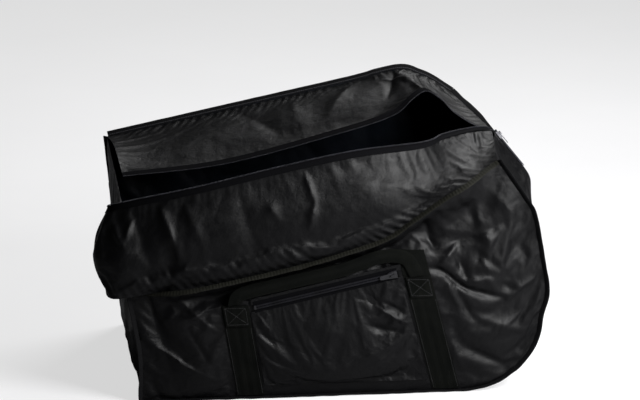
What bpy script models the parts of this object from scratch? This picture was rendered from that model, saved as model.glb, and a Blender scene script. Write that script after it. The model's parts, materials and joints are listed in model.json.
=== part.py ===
"""Soft travel bag for a folding bike, standing open with its front flap rolled outward. Metres, +Z up."""

import math

import bmesh
import bpy
import numpy as np
from mathutils import Vector

# Overall size of the bag as it stands
BAG_WIDTH = 0.848
BAG_HEIGHT = 0.510
BAG_DEPTH = 0.410

# Cloth, tape and webbing
CLOTH = 0.0016
SEAM_GAP = 0.0003
LAY_GAP = 0.0006
WEBBING = 0.0018
WEBBING_WIDTH = 0.050
BINDING_WIDTH = 0.010
BINDING = 0.0020

# Shape of the walls
CORNER_RADIUS = 0.145
BACK_BULGE = 0.030
SIDE_BULGE = 0.010
SIDE_FADE = 0.110
BELLY = 0.022
RECESS = 0.004
RECESS_SHARE = 0.55
LIP_OVERHANG = 0.036
FLAP_BULGE = 0.030
BACK_FLAP_ARCH = 0.018

# Outlines as (share of the width from the left, share of the height)
FRONT_LEFT_SHARES = ((0.115, 0.0), (0.116, 0.18), (0.093, 0.415))
BASE_RIGHT_SHARE = 0.988
RIGHT_SIDE_SHARES = (
    (1.0, 0.373), (0.988, 0.502), (0.969, 0.665), (0.949, 0.726), (0.9245, 0.788), (0.889, 0.8765),
)
LIP_SHARES = (
    (0.093, 0.415), (0.2205, 0.446), (0.441, 0.520), (0.556, 0.572), (0.644, 0.621), (0.705, 0.690),
    (0.778, 0.7745), (0.8626, 0.851), (0.889, 0.8765),
)
BACK_LEFT_SHARES = ((0.104, 0.0), (0.084, 0.40), (0.064, 0.763))
BACK_TOP_SHARES = (
    (0.064, 0.763), (0.382, 0.874), (0.6226, 0.958), (0.683, 0.985), (0.7406, 1.0), (0.776, 0.981),
    (0.809, 0.955), (0.854, 0.902),
)
BACK_RIGHT_SHARES = ((1.0, 0.373), (0.988, 0.502), (0.969, 0.665), (0.9245, 0.788), (0.854, 0.902))

# Free edges as shares of the width from the left, of the depth from the middle, and of the height
FRONT_RIM_SHARES = (
    (0.048, -0.36, 0.690), (0.067, -0.48, 0.733), (0.2335, -0.565, 0.806), (0.4245, -0.565, 0.8765),
    (0.579, -0.54, 0.9196), (0.7265, -0.455, 0.9245), (0.785, -0.30, 0.919), (0.865, -0.13, 0.902),
    (0.907, -0.073, 0.886),
)
BACK_RIM_SHARES = (
    (0.090, 0.05, 0.725), (0.32, 0.09, 0.755), (0.574, 0.145, 0.846), (0.698, 0.19, 0.900),
    (0.7465, 0.225, 0.955), (0.775, 0.245, 0.9755), (0.805, 0.21, 0.952), (0.833, 0.12, 0.915),
    (0.875, 0.0, 0.889), (0.907, -0.073, 0.886),
)
LIP_END_SHARES = ((0.066, -0.34, 0.470), (0.043, -0.44, 0.428), (0.057, -0.575, 0.416))
LEFT_WALL_END_SHARE = (0.082, -0.22, 0.690)
FLAP_SPLIT_SHARE = 0.610

# Ways that the bindings of the two top seams stand
LIP_BINDING_WAY = (0.0, -1.0, -0.2)
TOP_BINDING_WAY = (0.0, 0.6, 1.0)

# Webbing on the panels: place of its middle as a share of the width, at the foot and at its top
LEFT_STRAP_SHARES = (0.354, 0.317)
RIGHT_STRAP_SHARES = (0.785, 0.714)
LEFT_STRAP_TOP = 0.190
RIGHT_STRAP_TOP = 0.235
RIGHT_STRAP_REACH = 0.286
STRAP_EASE_SHARE = 0.036
BACK_STRAP_TOP = 0.300
SEAM_MARGIN = 0.006
HANDLE_SEWN = 0.040
HANDLE_EDGE = 0.003
HANDLE_WIDTH = 0.026
FRONT_HANDLE_RISE = 0.048
FRONT_HANDLE_SHARES = (
    (0.0, 0.0), (0.05, 0.40), (0.30, 0.56), (0.60, 0.72), (0.82, 1.0), (0.95, 0.78), (1.0, 0.0),
)
FRONT_HANDLE_LEAN = 0.001
BACK_HANDLE_DROP = 0.120
BACK_HANDLE_SHARES = (
    (0.0, 0.0), (0.03, 0.45), (0.16, 0.86), (0.34, 1.0), (0.66, 1.0), (0.84, 0.86), (0.97, 0.45), (1.0, 0.0),
)
BACK_HANDLE_LEAN = 0.016

# Front pocket
POCKET_FOOT = 0.026
POCKET_PUFF = 0.010
PUFF_SQUARENESS = 0.7
POCKET_ZIP_LEFT = 0.185
POCKET_ZIP_RISE = 0.060
POCKET_CLEARANCE = 0.004
CREST_FLAT = 0.012

# Coil zip, closed: two tapes with a slit between them, a coil on each
ZIP_SLIT = 0.0014
ZIP_TAPE = 0.0008
ZIP_TAPE_WIDTH = 0.0150
ZIP_COIL_WIDTH = 0.0030
ZIP_COIL_HEIGHT = 0.0024
ZIP_STOP_LENGTH = 0.0040
ZIP_CLEARANCE = 0.0004
MAIN_ZIP_LENGTH = 0.094
RIM_TAPE_WIDTH = 0.009
RIM_TAPE_END = 0.017
POCKET_TAPE_WIDTH = 0.010
POCKET_ZIP_MARGIN = 0.006
POCKET_FACING = 0.006
SLIDER_LENGTH = 0.017
SLIDER_NOSE_SPREAD = 0.0036
SLIDER_WALL = 0.0012
SLIDER_POST = 0.0006
SLIDER_POST_LENGTH = 0.0045
BRIDGE_ROOM = 0.0026
BRIDGE_POST = 0.0014
BRIDGE_WIDTH = 0.0030
PULL_LENGTH = 0.025
PULL_WIDTH = 0.0100
PULL_TIP_WIDTH = 0.0075
PULL = 0.0014
PULL_BAR = 0.0016
PULL_EYE = 0.0060
OVERRUN = 0.0005
EDGE_ROOM = 0.006

# Facets: counts of steps over stretches of a panel, closer where it turns
FOOT_STEP_SHARES = ((0.0, 0.86, 14), (0.86, 1.0, 6))
FRONT_ROW_SHARES = ((0.0, 0.25, 5), (0.25, 0.66, 4), (0.66, 1.0, 12))
SIDE_ROW_SHARES = ((0.0, 0.25, 5), (0.25, 1.0, 8))
POCKET_ROW_SHARES = ((0.0, 0.05, 1), (0.05, 0.95, 7), (0.95, 1.0, 1))
STRAP_ROW_SHARES = ((0.0, 0.70, 7), (0.70, 1.0, 9))
BINDING_STEPS_PER_CORNER = 12
DEPTH_STEPS = 8
FLAP_STEPS = 16
FLAP_ROWS = 7
HANDLE_STEPS = 26
PATH_SAMPLES = 160

CLOTH_BLACK = (0.012, 0.012, 0.014)
WEBBING_BLACK = (0.010, 0.010, 0.011)
ZIP_BLACK = (0.020, 0.020, 0.022)
NICKEL = (0.34, 0.34, 0.36)


def clear_scene():
    for obj in list(bpy.data.objects):
        bpy.data.objects.remove(obj, do_unlink=True)


def material(name, colour, roughness, metallic=0.0):
    made = bpy.data.materials.new(name)
    made.use_nodes = True
    shader = made.node_tree.nodes["Principled BSDF"]
    shader.inputs["Base Color"].default_value = (*colour, 1.0)
    shader.inputs["Roughness"].default_value = roughness
    shader.inputs["Metallic"].default_value = metallic
    return made


def bag_x(share):
    """Place across the bag for a share of its width counted from the left."""
    return (share - 0.5) * BAG_WIDTH


def smooth(share):
    """Eased step from 0 to 1."""
    held = min(max(share, 0.0), 1.0)
    return held * held * (3.0 - 2.0 * held)


def unit(vector):
    return vector / np.linalg.norm(vector)


class Path:
    """Smooth curve through chosen points, read by its share of length."""

    def __init__(self, points):
        chosen = np.array(points, dtype=float)
        ends = np.vstack([2 * chosen[0] - chosen[1], chosen, 2 * chosen[-1] - chosen[-2]])
        steps = max(PATH_SAMPLES // (len(chosen) - 1), 2)
        drawn = [chosen[0]]
        for before, start, end, after in zip(ends, ends[1:], ends[2:], ends[3:]):
            for step in range(1, steps + 1):
                t = step / steps
                slope_in = (end - before) / 2
                slope_out = (after - start) / 2
                held = (2 * t ** 3 - 3 * t ** 2 + 1) * start + (3 * t ** 2 - 2 * t ** 3) * end
                drawn.append(held + (t ** 3 - 2 * t ** 2 + t) * slope_in + (t ** 3 - t ** 2) * slope_out)
        self.points = np.array(drawn)
        runs = np.linalg.norm(np.diff(self.points, axis=0), axis=1)
        self.length = runs.sum()
        self.shares = np.concatenate([[0.0], np.cumsum(runs)]) / self.length

    def at(self, share):
        return np.array([np.interp(share, self.shares, column) for column in self.points.T])

    def part(self, start, end):
        """The stretch between two shares of the length."""
        return Path([self.at(share) for share in shares_between(start, end, PATH_SAMPLES // 4)])

    def crossing(self, point, direction):
        """Share of the length at which the curve passes the plane through a point."""
        sides = (self.points - point) @ direction
        return float(np.interp(0.0, sides, self.shares))


class Patch:
    """Surface stretched between four edge curves, with an added bulge."""

    def __init__(self, bottom, top, left, right, bulge=None):
        self.bottom = bottom
        self.top = top
        self.left = left
        self.right = right
        self.bulge = bulge

    def at(self, across, up):
        low, high = self.bottom.at(across), self.top.at(across)
        near, far = self.left.at(up), self.right.at(up)
        ruled = (1 - up) * low + up * high + (1 - across) * near + across * far
        low_corners = (1 - across) * self.bottom.at(0.0) + across * self.bottom.at(1.0)
        high_corners = (1 - across) * self.top.at(0.0) + across * self.top.at(1.0)
        point = ruled - (1 - up) * low_corners - up * high_corners
        return point if self.bulge is None else point + self.bulge(across, up)


def shares_between(start, end, steps):
    return [start + (end - start) * step / steps for step in range(steps + 1)]


def grid_normals(grid):
    """Unit normals of a grid of points, from the differences along its two ways."""
    across = np.gradient(grid, axis=0)
    up = np.gradient(grid, axis=1)
    normals = np.cross(across, up)
    return normals / np.linalg.norm(normals, axis=2, keepdims=True)


def slab(grid, thickness, outside):
    """Closed solid with the grid as its outer face, the side that looks the way outside points."""
    normals = grid_normals(grid)
    middle = normals[normals.shape[0] // 2, normals.shape[1] // 2]
    if np.dot(middle, outside) < 0:
        normals = -normals
    inner = grid - normals * thickness
    return joined_layers(grid, inner)


def joined_layers(outer, inner):
    """Closed mesh from two grids of equal size that face each other."""
    mesh = bmesh.new()
    layers = [[[mesh.verts.new(point) for point in column] for column in grid] for grid in (outer, inner)]
    columns, rows = len(outer), len(outer[0])
    for layer in layers:
        for i in range(columns - 1):
            for j in range(rows - 1):
                mesh.faces.new((layer[i][j], layer[i + 1][j], layer[i + 1][j + 1], layer[i][j + 1]))
    rim = [(i, 0) for i in range(columns)] + [(columns - 1, j) for j in range(1, rows)]
    rim += [(i, rows - 1) for i in range(columns - 2, -1, -1)] + [(0, j) for j in range(rows - 2, 0, -1)]
    for (i, j), (m, n) in zip(rim, rim[1:] + rim[:1]):
        mesh.faces.new((layers[0][i][j], layers[0][m][n], layers[1][m][n], layers[1][i][j]))
    return mesh


def prism(points, depth_vector):
    """Closed solid from a flat outline pushed along a vector."""
    mesh = bmesh.new()
    near = [mesh.verts.new(point) for point in points]
    far = [mesh.verts.new(np.array(point) + depth_vector) for point in points]
    mesh.faces.new(near)
    mesh.faces.new(far)
    for i in range(len(points)):
        nxt = (i + 1) % len(points)
        mesh.faces.new((near[i], near[nxt], far[nxt], far[i]))
    return mesh


def swept(path_points, across_vectors, up_vectors, width, height):
    """Closed bar of rectangular section along a row of points, its low inner corner on them."""
    rows = []
    for point, across, up in zip(path_points, across_vectors, up_vectors):
        far = point + across * width
        rows.append([point, far, far + up * height, point + up * height])
    mesh = bmesh.new()
    made = [[mesh.verts.new(corner) for corner in row] for row in rows]
    for first, second in zip(made, made[1:]):
        for i in range(4):
            nxt = (i + 1) % 4
            mesh.faces.new((first[i], first[nxt], second[nxt], second[i]))
    mesh.faces.new(made[0])
    mesh.faces.new(made[-1])
    return mesh


class Seams:
    """Seam and edge curves that neighbouring panels share."""

    def __init__(self):
        self.foot = WEBBING + SEAM_GAP
        self.front_y = -BAG_DEPTH / 2
        self.back_y = BAG_DEPTH / 2
        self.front_left = Path([self.front_point(*pair) for pair in FRONT_LEFT_SHARES])
        self.front_foot, self.front_right = self.foot_and_side(
            FRONT_LEFT_SHARES[0], RIGHT_SIDE_SHARES, self.front_y)
        self.lip_line = Path([self.front_point(*pair) for pair in LIP_SHARES])
        self.lip = Path([self.on_lip(point) for point in self.lip_line.points[:: PATH_SAMPLES // 40]])
        self.back_left = Path([self.back_point(*pair) for pair in BACK_LEFT_SHARES])
        self.back_foot, self.back_right = self.foot_and_side(
            BACK_LEFT_SHARES[0], BACK_RIGHT_SHARES, self.back_y)
        self.back_top = Path([self.back_point(*pair) for pair in BACK_TOP_SHARES])
        self.front_rim = Path([self.free_point(*triple) for triple in FRONT_RIM_SHARES])
        self.back_rim = Path([self.free_point(*triple) for triple in BACK_RIM_SHARES])
        self.wall_end = self.free_point(*LEFT_WALL_END_SHARE)
        self.zip_end = self.front_rim.at(1.0)

    def height(self, share):
        """Height for a share counted from the underside of the base."""
        return self.foot + share * (BAG_HEIGHT - self.foot)

    def front_point(self, across, up):
        return np.array([bag_x(across), self.front_y, self.height(up)])

    def back_point(self, across, up):
        return np.array([bag_x(across), self.back_y, self.height(up)])

    def free_point(self, across, deep, up):
        return np.array([bag_x(across), deep * BAG_DEPTH, self.height(up)])

    def foot_and_side(self, foot_share, side_shares, y):
        """The curve along the foot to halfway round the lower corner, and the one from there up the side."""
        right = bag_x(BASE_RIGHT_SHARE)
        centre = (right - CORNER_RADIUS, self.foot + CORNER_RADIUS)
        start = bag_x(foot_share[0])
        straight = [(x, self.foot) for x in np.linspace(start, centre[0], 14)]
        turn = [math.radians(angle) for angle in (-75, -60, -45, -30, -15, 0)]
        arc = [(centre[0] + CORNER_RADIUS * math.cos(angle), centre[1] + CORNER_RADIUS * math.sin(angle))
               for angle in turn]
        side = [(bag_x(across), self.height(up)) for across, up in side_shares]
        foot_curve = Path([np.array([x, y, z]) for x, z in straight + arc[:3]])
        side_curve = Path([np.array([x, y, z]) for x, z in arc[2:] + side])
        return foot_curve, side_curve

    def side_weight(self, x, z):
        """1 across the middle of the front, easing to 0 at its side seams."""
        left = np.interp(z, self.front_left.points[:, 2], self.front_left.points[:, 0])
        right = np.interp(z, self.front_right.points[:, 2], self.front_right.points[:, 0])
        return smooth((x - left) / SIDE_FADE) * smooth((right - x) / SIDE_FADE)

    def on_lip(self, point):
        """The same place on the lip, which hangs out beyond the side seams."""
        return point - np.array([0, LIP_OVERHANG * self.side_weight(point[0], point[2]), 0])

    def lip_height(self, x):
        return float(np.interp(x, self.lip_line.points[:, 0], self.lip_line.points[:, 2]))

    def zip_height(self, x):
        """Height of the pocket zip's line, carried on to both sides."""
        left = self.pocket_left()
        slope = POCKET_ZIP_RISE / (self.pocket_right() - left)
        return POCKET_ZIP_LEFT + slope * (x - left)

    def strap_x(self, shares, top, z):
        """Middle of a front strap at a height."""
        return bag_x(shares[0] + (shares[1] - shares[0]) * z / top)

    def pocket_left(self, height=POCKET_ZIP_LEFT):
        """Left side of the pocket at a height, beside the left strap."""
        middle = self.strap_x(LEFT_STRAP_SHARES, LEFT_STRAP_TOP, height)
        return middle + WEBBING_WIDTH / 2 + POCKET_CLEARANCE

    def pocket_right(self, height=POCKET_ZIP_LEFT + POCKET_ZIP_RISE):
        """Right side of the pocket at a height, beside the right strap."""
        middle = self.strap_x(RIGHT_STRAP_SHARES, RIGHT_STRAP_TOP, height)
        return middle - WEBBING_WIDTH / 2 - POCKET_CLEARANCE

    def front_face(self, x, z):
        """How far forward the outside of the front panel stands at a place on it."""
        crest = self.zip_height(x)
        lip = max(self.lip_height(x), crest + BELLY)
        if z <= crest:
            out = BELLY * math.sin(math.pi / 2 * max(z - self.foot, 0.0) / (crest - self.foot))
        else:
            share = max(z - crest - CREST_FLAT, 0.0) / (lip - crest - CREST_FLAT)
            if share < RECESS_SHARE:
                out = BELLY + (RECESS - BELLY) * smooth(share / RECESS_SHARE)
            else:
                out = RECESS + (LIP_OVERHANG - RECESS) * smooth((share - RECESS_SHARE) / (1 - RECESS_SHARE))
        return self.front_y - out * self.side_weight(x, z)

    def back_face(self, x, z):
        """How far back the outside of the back panel stands at a place on it."""
        left = np.interp(z, self.back_left.points[:, 2], self.back_left.points[:, 0])
        right = np.interp(z, self.back_right.points[:, 2], self.back_right.points[:, 0])
        top = np.interp(x, self.back_top.points[:, 0], self.back_top.points[:, 2])
        across = min(max((x - left) / (right - left), 0.0), 1.0)
        up = min(max((z - self.foot) / (top - self.foot), 0.0), 1.0)
        return self.back_y + BACK_BULGE * math.sin(math.pi * across) * math.sin(math.pi * up)


def straight(start, end):
    return Path([start + (end - start) * step / 4 for step in range(5)])


def patch_grid(patch, across_shares, up_shares):
    return np.array([[patch.at(a, u) for u in up_shares] for a in across_shares])


def stepped(stretches):
    """Shares over several stretches, each with its own count of steps."""
    shares = [stretches[0][0]]
    for start, end, steps in stretches:
        shares += shares_between(start, end, steps)[1:]
    return shares


def trimmed(shares, length, start_trim, end_trim):
    """Row of shares drawn in at both ends by lengths along a curve."""
    start, end = start_trim / length, 1.0 - end_trim / length
    return [start + (end - start) * share for share in shares]


class Builder:
    """Makes the pieces as objects under one root."""

    def __init__(self):
        self.seams = Seams()
        self.cloth = material("bag_cloth", CLOTH_BLACK, 0.62)
        self.webbing = material("bag_webbing", WEBBING_BLACK, 0.75)
        self.binding = material("seam_binding", WEBBING_BLACK, 0.70)
        self.tape = material("zip_tape", ZIP_BLACK, 0.80)
        self.coil = material("zip_coil", ZIP_BLACK, 0.45)
        self.metal = material("zip_metal", NICKEL, 0.35, 1.0)
        self.painted = material("painted_zip_metal", ZIP_BLACK, 0.50)
        self.joints = {}
        self.root = bpy.data.objects.new("bag_origin", None)
        bpy.context.scene.collection.objects.link(self.root)

    def add(self, name, mesh, finish, origin=None):
        """Puts a bmesh given in the bag's frame into the scene, with its origin where asked."""
        place = Vector((0, 0, 0)) if origin is None else Vector(origin)
        bmesh.ops.translate(mesh, vec=-place, verts=mesh.verts)
        bmesh.ops.recalc_face_normals(mesh, faces=mesh.faces)
        data = bpy.data.meshes.new(name)
        mesh.to_mesh(data)
        mesh.free()
        data.materials.append(finish)
        obj = bpy.data.objects.new(name, data)
        obj.location = place
        obj.parent = self.root
        bpy.context.scene.collection.objects.link(obj)
        return obj

    def cut(self, target, cutter_mesh, operation="DIFFERENCE"):
        """Cuts or joins a shape on a piece, which keeps the Boolean as a modifier."""
        cutter = self.add(target.name + "_" + operation.lower(), cutter_mesh, self.metal)
        cutter.hide_render = True
        cutter.display_type = "WIRE"
        step = target.modifiers.new(operation.title(), "BOOLEAN")
        step.operation = operation
        step.solver = "EXACT"
        step.object = cutter


def edge_trim():
    """How far a panel stops short of its seam line, so that walls meeting there stay apart."""
    return CLOTH + SEAM_GAP


def add_front_panel(build):
    seams = build.seams
    outline = Patch(seams.front_foot, seams.lip_line, seams.front_left, seams.front_right)
    across = trimmed(stepped(FOOT_STEP_SHARES), seams.front_foot.length, edge_trim(), edge_trim())
    up = trimmed(stepped(FRONT_ROW_SHARES), seams.front_left.length, edge_trim(), edge_trim())
    grid = patch_grid(outline, across, up)
    for column in grid:
        for point in column:
            point[1] = seams.front_face(point[0], point[2])
    return build.add("front_panel", slab(grid, CLOTH, (0, -1, 0)), build.cloth)


def add_back_panel(build):
    seams = build.seams
    outline = Patch(seams.back_foot, seams.back_top, seams.back_left, seams.back_right)
    across = trimmed(stepped(FOOT_STEP_SHARES), seams.back_foot.length, edge_trim(), edge_trim())
    up = trimmed(stepped(SIDE_ROW_SHARES), seams.back_left.length, edge_trim(), edge_trim())
    grid = patch_grid(outline, across, up)
    for column in grid:
        for point in column:
            point[1] = seams.back_face(point[0], point[2])
    return build.add("back_panel", slab(grid, CLOTH, (0, 1, 0)), build.cloth)


def add_base_panel(build):
    seams = build.seams
    outline = Patch(seams.front_foot, seams.back_foot,
                    straight(seams.front_foot.at(0), seams.back_foot.at(0)),
                    straight(seams.front_foot.at(1), seams.back_foot.at(1)))
    across = trimmed(stepped(FOOT_STEP_SHARES), seams.front_foot.length, edge_trim(), edge_trim())
    up = trimmed(shares_between(0, 1, 4), BAG_DEPTH, edge_trim(), edge_trim())
    return build.add("base_panel", slab(patch_grid(outline, across, up), CLOTH, (0, 0, -1)), build.cloth)


def side_bulge(direction):
    def bulge(across, up):
        return np.array([direction * SIDE_BULGE * math.sin(math.pi * across) * math.sin(math.pi * up), 0, 0])
    return bulge


def right_wall(seams):
    """Surface of the right gusset, read by its share up and its share from the front to the back."""
    top = Path([seams.lip.at(1), (seams.lip.at(1) + seams.zip_end) / 2, seams.zip_end,
                (seams.zip_end + seams.back_top.at(1)) / 2, seams.back_top.at(1)])
    foot = straight(seams.front_right.at(0), seams.back_right.at(0))
    return Patch(seams.front_right, seams.back_right, foot, top, side_bulge(1))


def add_right_gusset(build):
    seams = build.seams
    across = trimmed(stepped(SIDE_ROW_SHARES), seams.front_right.length, edge_trim(), edge_trim())
    up = trimmed(shares_between(0, 1, DEPTH_STEPS), BAG_DEPTH, edge_trim(), edge_trim())
    grid = patch_grid(right_wall(seams), across, up)
    return build.add("right_gusset", slab(grid, CLOTH, (1, 0, 0)), build.cloth)


def add_left_gusset(build):
    seams = build.seams
    corner = seams.front_left.at(1.0)
    front = Path(list(seams.front_left.points[:: PATH_SAMPLES // 20])
                 + list(straight(corner, seams.wall_end).points[1:: PATH_SAMPLES // 20]))
    outline = Patch(front, seams.back_left,
                    straight(seams.front_left.at(0), seams.back_left.at(0)),
                    straight(seams.wall_end, seams.back_left.at(1)), side_bulge(-1))
    across = trimmed(stepped(SIDE_ROW_SHARES), seams.back_left.length, edge_trim(), edge_trim())
    up = trimmed(shares_between(0, 1, DEPTH_STEPS), BAG_DEPTH, edge_trim(), edge_trim())
    return build.add("left_gusset", slab(patch_grid(outline, across, up), CLOTH, (-1, 0, 0)), build.cloth)


class Flap:
    """Half of the top gusset: the length that folds, and the shoulder beside it that stays put."""

    def __init__(self, seam, rim, end_points, outside, bulge):
        self.rim = rim
        self.outside = outside
        self.bulge = bulge
        split = float(np.interp(bag_x(FLAP_SPLIT_SHARE), seam.points[:, 0], seam.shares))
        self.hinge = seam.at(split)
        self.axis = unit(self.hinge - seam.at(0.0))
        crossing = rim.crossing(self.hinge, self.axis)
        moving_seam = seam.part(0.0, split)
        if end_points is not None:
            first = bag_x(LIP_SHARES[1][0]) - WEBBING_WIDTH
            kept = [point for point in moving_seam.points if point[0] > first]
            moving_seam = Path(list(end_points) + kept[:: PATH_SAMPLES // 20] + [kept[-1]])
        self.seam_parts = {"moving": moving_seam, "fixed": seam.part(split, 1.0)}
        self.rim_parts = {"moving": rim.part(0.0, crossing), "fixed": rim.part(crossing, 1.0)}

    def surface(self, which):
        low, high = self.seam_parts[which], self.rim_parts[which]
        start, end = straight(low.at(0), high.at(0)), straight(low.at(1), high.at(1))
        return Patch(low, high, start, end, self.bulge[which])


def front_flap_bulge():
    def moving(across, up):
        swell = math.sin(math.pi * up)
        return np.array([-FLAP_BULGE * swell * (1 - smooth(across * 4)), -FLAP_BULGE * swell, 0])

    def fixed(across, up):
        return np.array([0, -FLAP_BULGE * math.sin(math.pi * up) * (1 - smooth(across)), 0])
    return {"moving": moving, "fixed": fixed}


def back_flap_bulge():
    def moving(across, up):
        return np.array([0, 0, BACK_FLAP_ARCH * math.sin(math.pi * up)])

    def fixed(across, up):
        return np.array([0, 0, BACK_FLAP_ARCH * math.sin(math.pi * up) * (1 - smooth(across))])
    return {"moving": moving, "fixed": fixed}


def add_flap(build, flap, which, name, origin):
    """One length of a flap, with the zip tape and the coil along its free edge."""
    surface = flap.surface(which)
    length = flap.seam_parts[which].length
    depth = min(surface.left.length, surface.right.length)
    steps = FLAP_STEPS if which == "moving" else FLAP_STEPS // 2 + 2
    end_trim = SEAM_GAP if which == "moving" else edge_trim()
    across = trimmed(shares_between(0, 1, steps), length, SEAM_GAP, end_trim)
    up = trimmed(shares_between(0, 1, FLAP_ROWS), depth, edge_trim(), 0.0)
    grid = patch_grid(surface, across, up)
    build.add(name, slab(grid, CLOTH, flap.outside), build.cloth, origin)
    edge = grid[:, -1]
    outward = grid[:, -1] - grid[:, -2]
    outward = outward / np.linalg.norm(outward, axis=1, keepdims=True)
    if which == "fixed":
        keep = [i for i in range(len(edge)) if np.linalg.norm(edge[i] - build.seams.zip_end) > RIM_TAPE_END]
        edge, outward = edge[keep], outward[keep]
    start = edge + outward * SEAM_GAP
    tape = np.stack([start, start + outward * RIM_TAPE_WIDTH], axis=1)
    build.add(name + "_zip_tape", slab(tape, ZIP_TAPE, flap.outside), build.tape, origin)
    normals = grid_normals(tape)[:, 0]
    if np.dot(normals[len(normals) // 2], flap.outside) < 0:
        normals = -normals
    start = tape[:, 1] + outward * (LAY_GAP + SEAM_GAP) + normals * ZIP_TAPE
    coil = np.stack([start, start + outward * ZIP_COIL_WIDTH], axis=1)
    build.add(name + "_zip_coil", slab(coil, ZIP_COIL_HEIGHT, flap.outside), build.coil, origin)


def add_binding(build, name, path, direction_at, closed_ends=(0.0, 0.0), grounded=False):
    """Folded tape standing out of a seam. direction_at gives the way it stands at a share of the seam.

    A grounded one never points downward, so that it stays above what the bag stands on.
    """
    steps = int(path.length / CORNER_RADIUS * BINDING_STEPS_PER_CORNER)
    shares = trimmed(shares_between(0, 1, steps), path.length, *closed_ends)
    points, outs, ups = [], [], []
    for index, share in enumerate(shares):
        point = path.at(share)
        ahead = path.at(min(share + 0.01, 1.0)) - path.at(max(share - 0.01, 0.0))
        out = np.array(direction_at(share), dtype=float)
        out = unit(out - np.dot(out, unit(ahead)) * unit(ahead))
        if grounded:
            out = unit(np.array([out[0], out[1], max(out[2], 0.0)]))
        up = unit(np.cross(out, ahead))
        points.append(point - up * BINDING / 2 + out * LAY_GAP)
        outs.append(out)
        ups.append(up)
    return build.add(name, swept(points, outs, ups, BINDING_WIDTH, BINDING), build.binding)


def front_binding_direction(seams, path):
    """Out of the front seam: forward, and away from the panel at its sides."""
    def direction(share):
        ahead = path.at(min(share + 0.01, 1.0)) - path.at(max(share - 0.01, 0.0))
        sideways = np.array([ahead[2], 0, -ahead[0]])
        sideways = unit(sideways)
        middle = np.array([0.0, 0.0, BAG_HEIGHT / 2])
        if np.dot(sideways, path.at(share) - middle) < 0:
            sideways = -sideways
        return [sideways[0], -1.0, max(sideways[2], 0.0)]
    return direction


def add_bindings(build):
    """Bound seams: up both sides and along the foot of the front and the back, and along their tops."""
    seams = build.seams
    front = Path(list(seams.front_left.points[::-1][:: PATH_SAMPLES // 40])
                 + list(seams.front_foot.points[1:: PATH_SAMPLES // 40])
                 + list(seams.front_right.points[1:: PATH_SAMPLES // 40]))
    back = Path(list(seams.back_left.points[::-1][:: PATH_SAMPLES // 40])
                + list(seams.back_foot.points[1:: PATH_SAMPLES // 40])
                + list(seams.back_right.points[1:: PATH_SAMPLES // 40]))
    outward = front_binding_direction(seams, front)
    backward = front_binding_direction(seams, back)
    closed_ends = (2 * BINDING_WIDTH, BINDING_WIDTH)
    add_binding(build, "front_seam_binding", front, outward, closed_ends, grounded=True)
    closed_ends = (BINDING_WIDTH, BINDING_WIDTH)
    add_binding(build, "back_seam_binding", back,
                lambda share: backward(share) * np.array([1, -1, 1]), closed_ends, grounded=True)
    lip_ends = (2 * BINDING_WIDTH, BINDING)
    add_binding(build, "front_lip_binding", seams.lip, lambda share: LIP_BINDING_WAY, lip_ends)
    add_binding(build, "back_top_binding", seams.back_top, lambda share: TOP_BINDING_WAY, (BINDING, BINDING))


class PanelSide:
    """The outer side of the front or the back panel, on which flat pieces are laid."""

    def __init__(self, name, face, side):
        self.name = name
        self.face = face
        self.side = side

    def laid(self, place, columns, rows, lift, thickness):
        """Flat-lying piece. place gives (x, z) and lift its height off the panel for shares across and up."""
        grid = []
        for a in shares_between(0, 1, columns):
            column = []
            for u in rows:
                x, z = place(a, u)
                column.append(np.array([x, self.face(x, z) + self.side * (lift(a, u) + thickness), z]))
            grid.append(column)
        return slab(np.array(grid), thickness, (0, self.side, 0))


def front_side(seams):
    return PanelSide("front", seams.front_face, -1)


def back_side(seams):
    return PanelSide("back", seams.back_face, 1)


def strap_place(seams, shares, top, low, high):
    def place(across, up):
        z = low + (high - low) * up
        return seams.strap_x(shares, top, z) + (across - 0.5) * WEBBING_WIDTH, z
    return place


def add_panel_strap(build, panel, name, shares, top, reach):
    """Webbing up a panel as far as its reach, with the sewn end of the handle on it.

    Above the handle it lies looser, where the panel turns out to its lip.
    """
    seams = build.seams
    low = seams.foot + SEAM_MARGIN
    whole = strap_place(seams, shares, top, low, reach)

    def lift(across, up):
        above = max(low + (reach - low) * up - top - WEBBING_WIDTH / 2, 0.0)
        return LAY_GAP + STRAP_EASE_SHARE * above

    strap = panel.laid(whole, 2, stepped(STRAP_ROW_SHARES), lift, WEBBING)
    build.add(panel.name + "_" + name + "_strap", strap, build.webbing)
    sewn = narrowed(strap_place(seams, shares, top, top - HANDLE_SEWN, top))
    end = panel.laid(sewn, 2, shares_between(0, 1, 3), lambda across, up: 2 * LAY_GAP + WEBBING, WEBBING)
    build.add(panel.name + "_" + name + "_handle_end", end, build.webbing)


def add_straps(build):
    """Webbing up the front, under the base and up the back, with the sewn ends of the handles on it."""
    seams = build.seams
    sides = (("left", LEFT_STRAP_SHARES, LEFT_STRAP_TOP, LEFT_STRAP_TOP),
             ("right", RIGHT_STRAP_SHARES, RIGHT_STRAP_TOP, RIGHT_STRAP_REACH))
    for name, shares, top, reach in sides:
        add_panel_strap(build, front_side(seams), name, shares, top, reach)
        add_panel_strap(build, back_side(seams), name, (shares[0], shares[0]), BACK_STRAP_TOP, BACK_STRAP_TOP)
        middle = bag_x(shares[0])
        near, far = seams.front_y + SEAM_MARGIN, seams.back_y - SEAM_MARGIN
        flat = np.array([[[middle + half, y, 0.0] for y in (near, far)]
                         for half in (-WEBBING_WIDTH / 2, WEBBING_WIDTH / 2)])
        build.add(name + "_base_strap", slab(flat, WEBBING, (0, 0, -1)), build.webbing)


def narrowed(place):
    def inner(across, up):
        share = HANDLE_EDGE / WEBBING_WIDTH
        return place(share + (1 - 2 * share) * across, up)
    return inner


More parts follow.
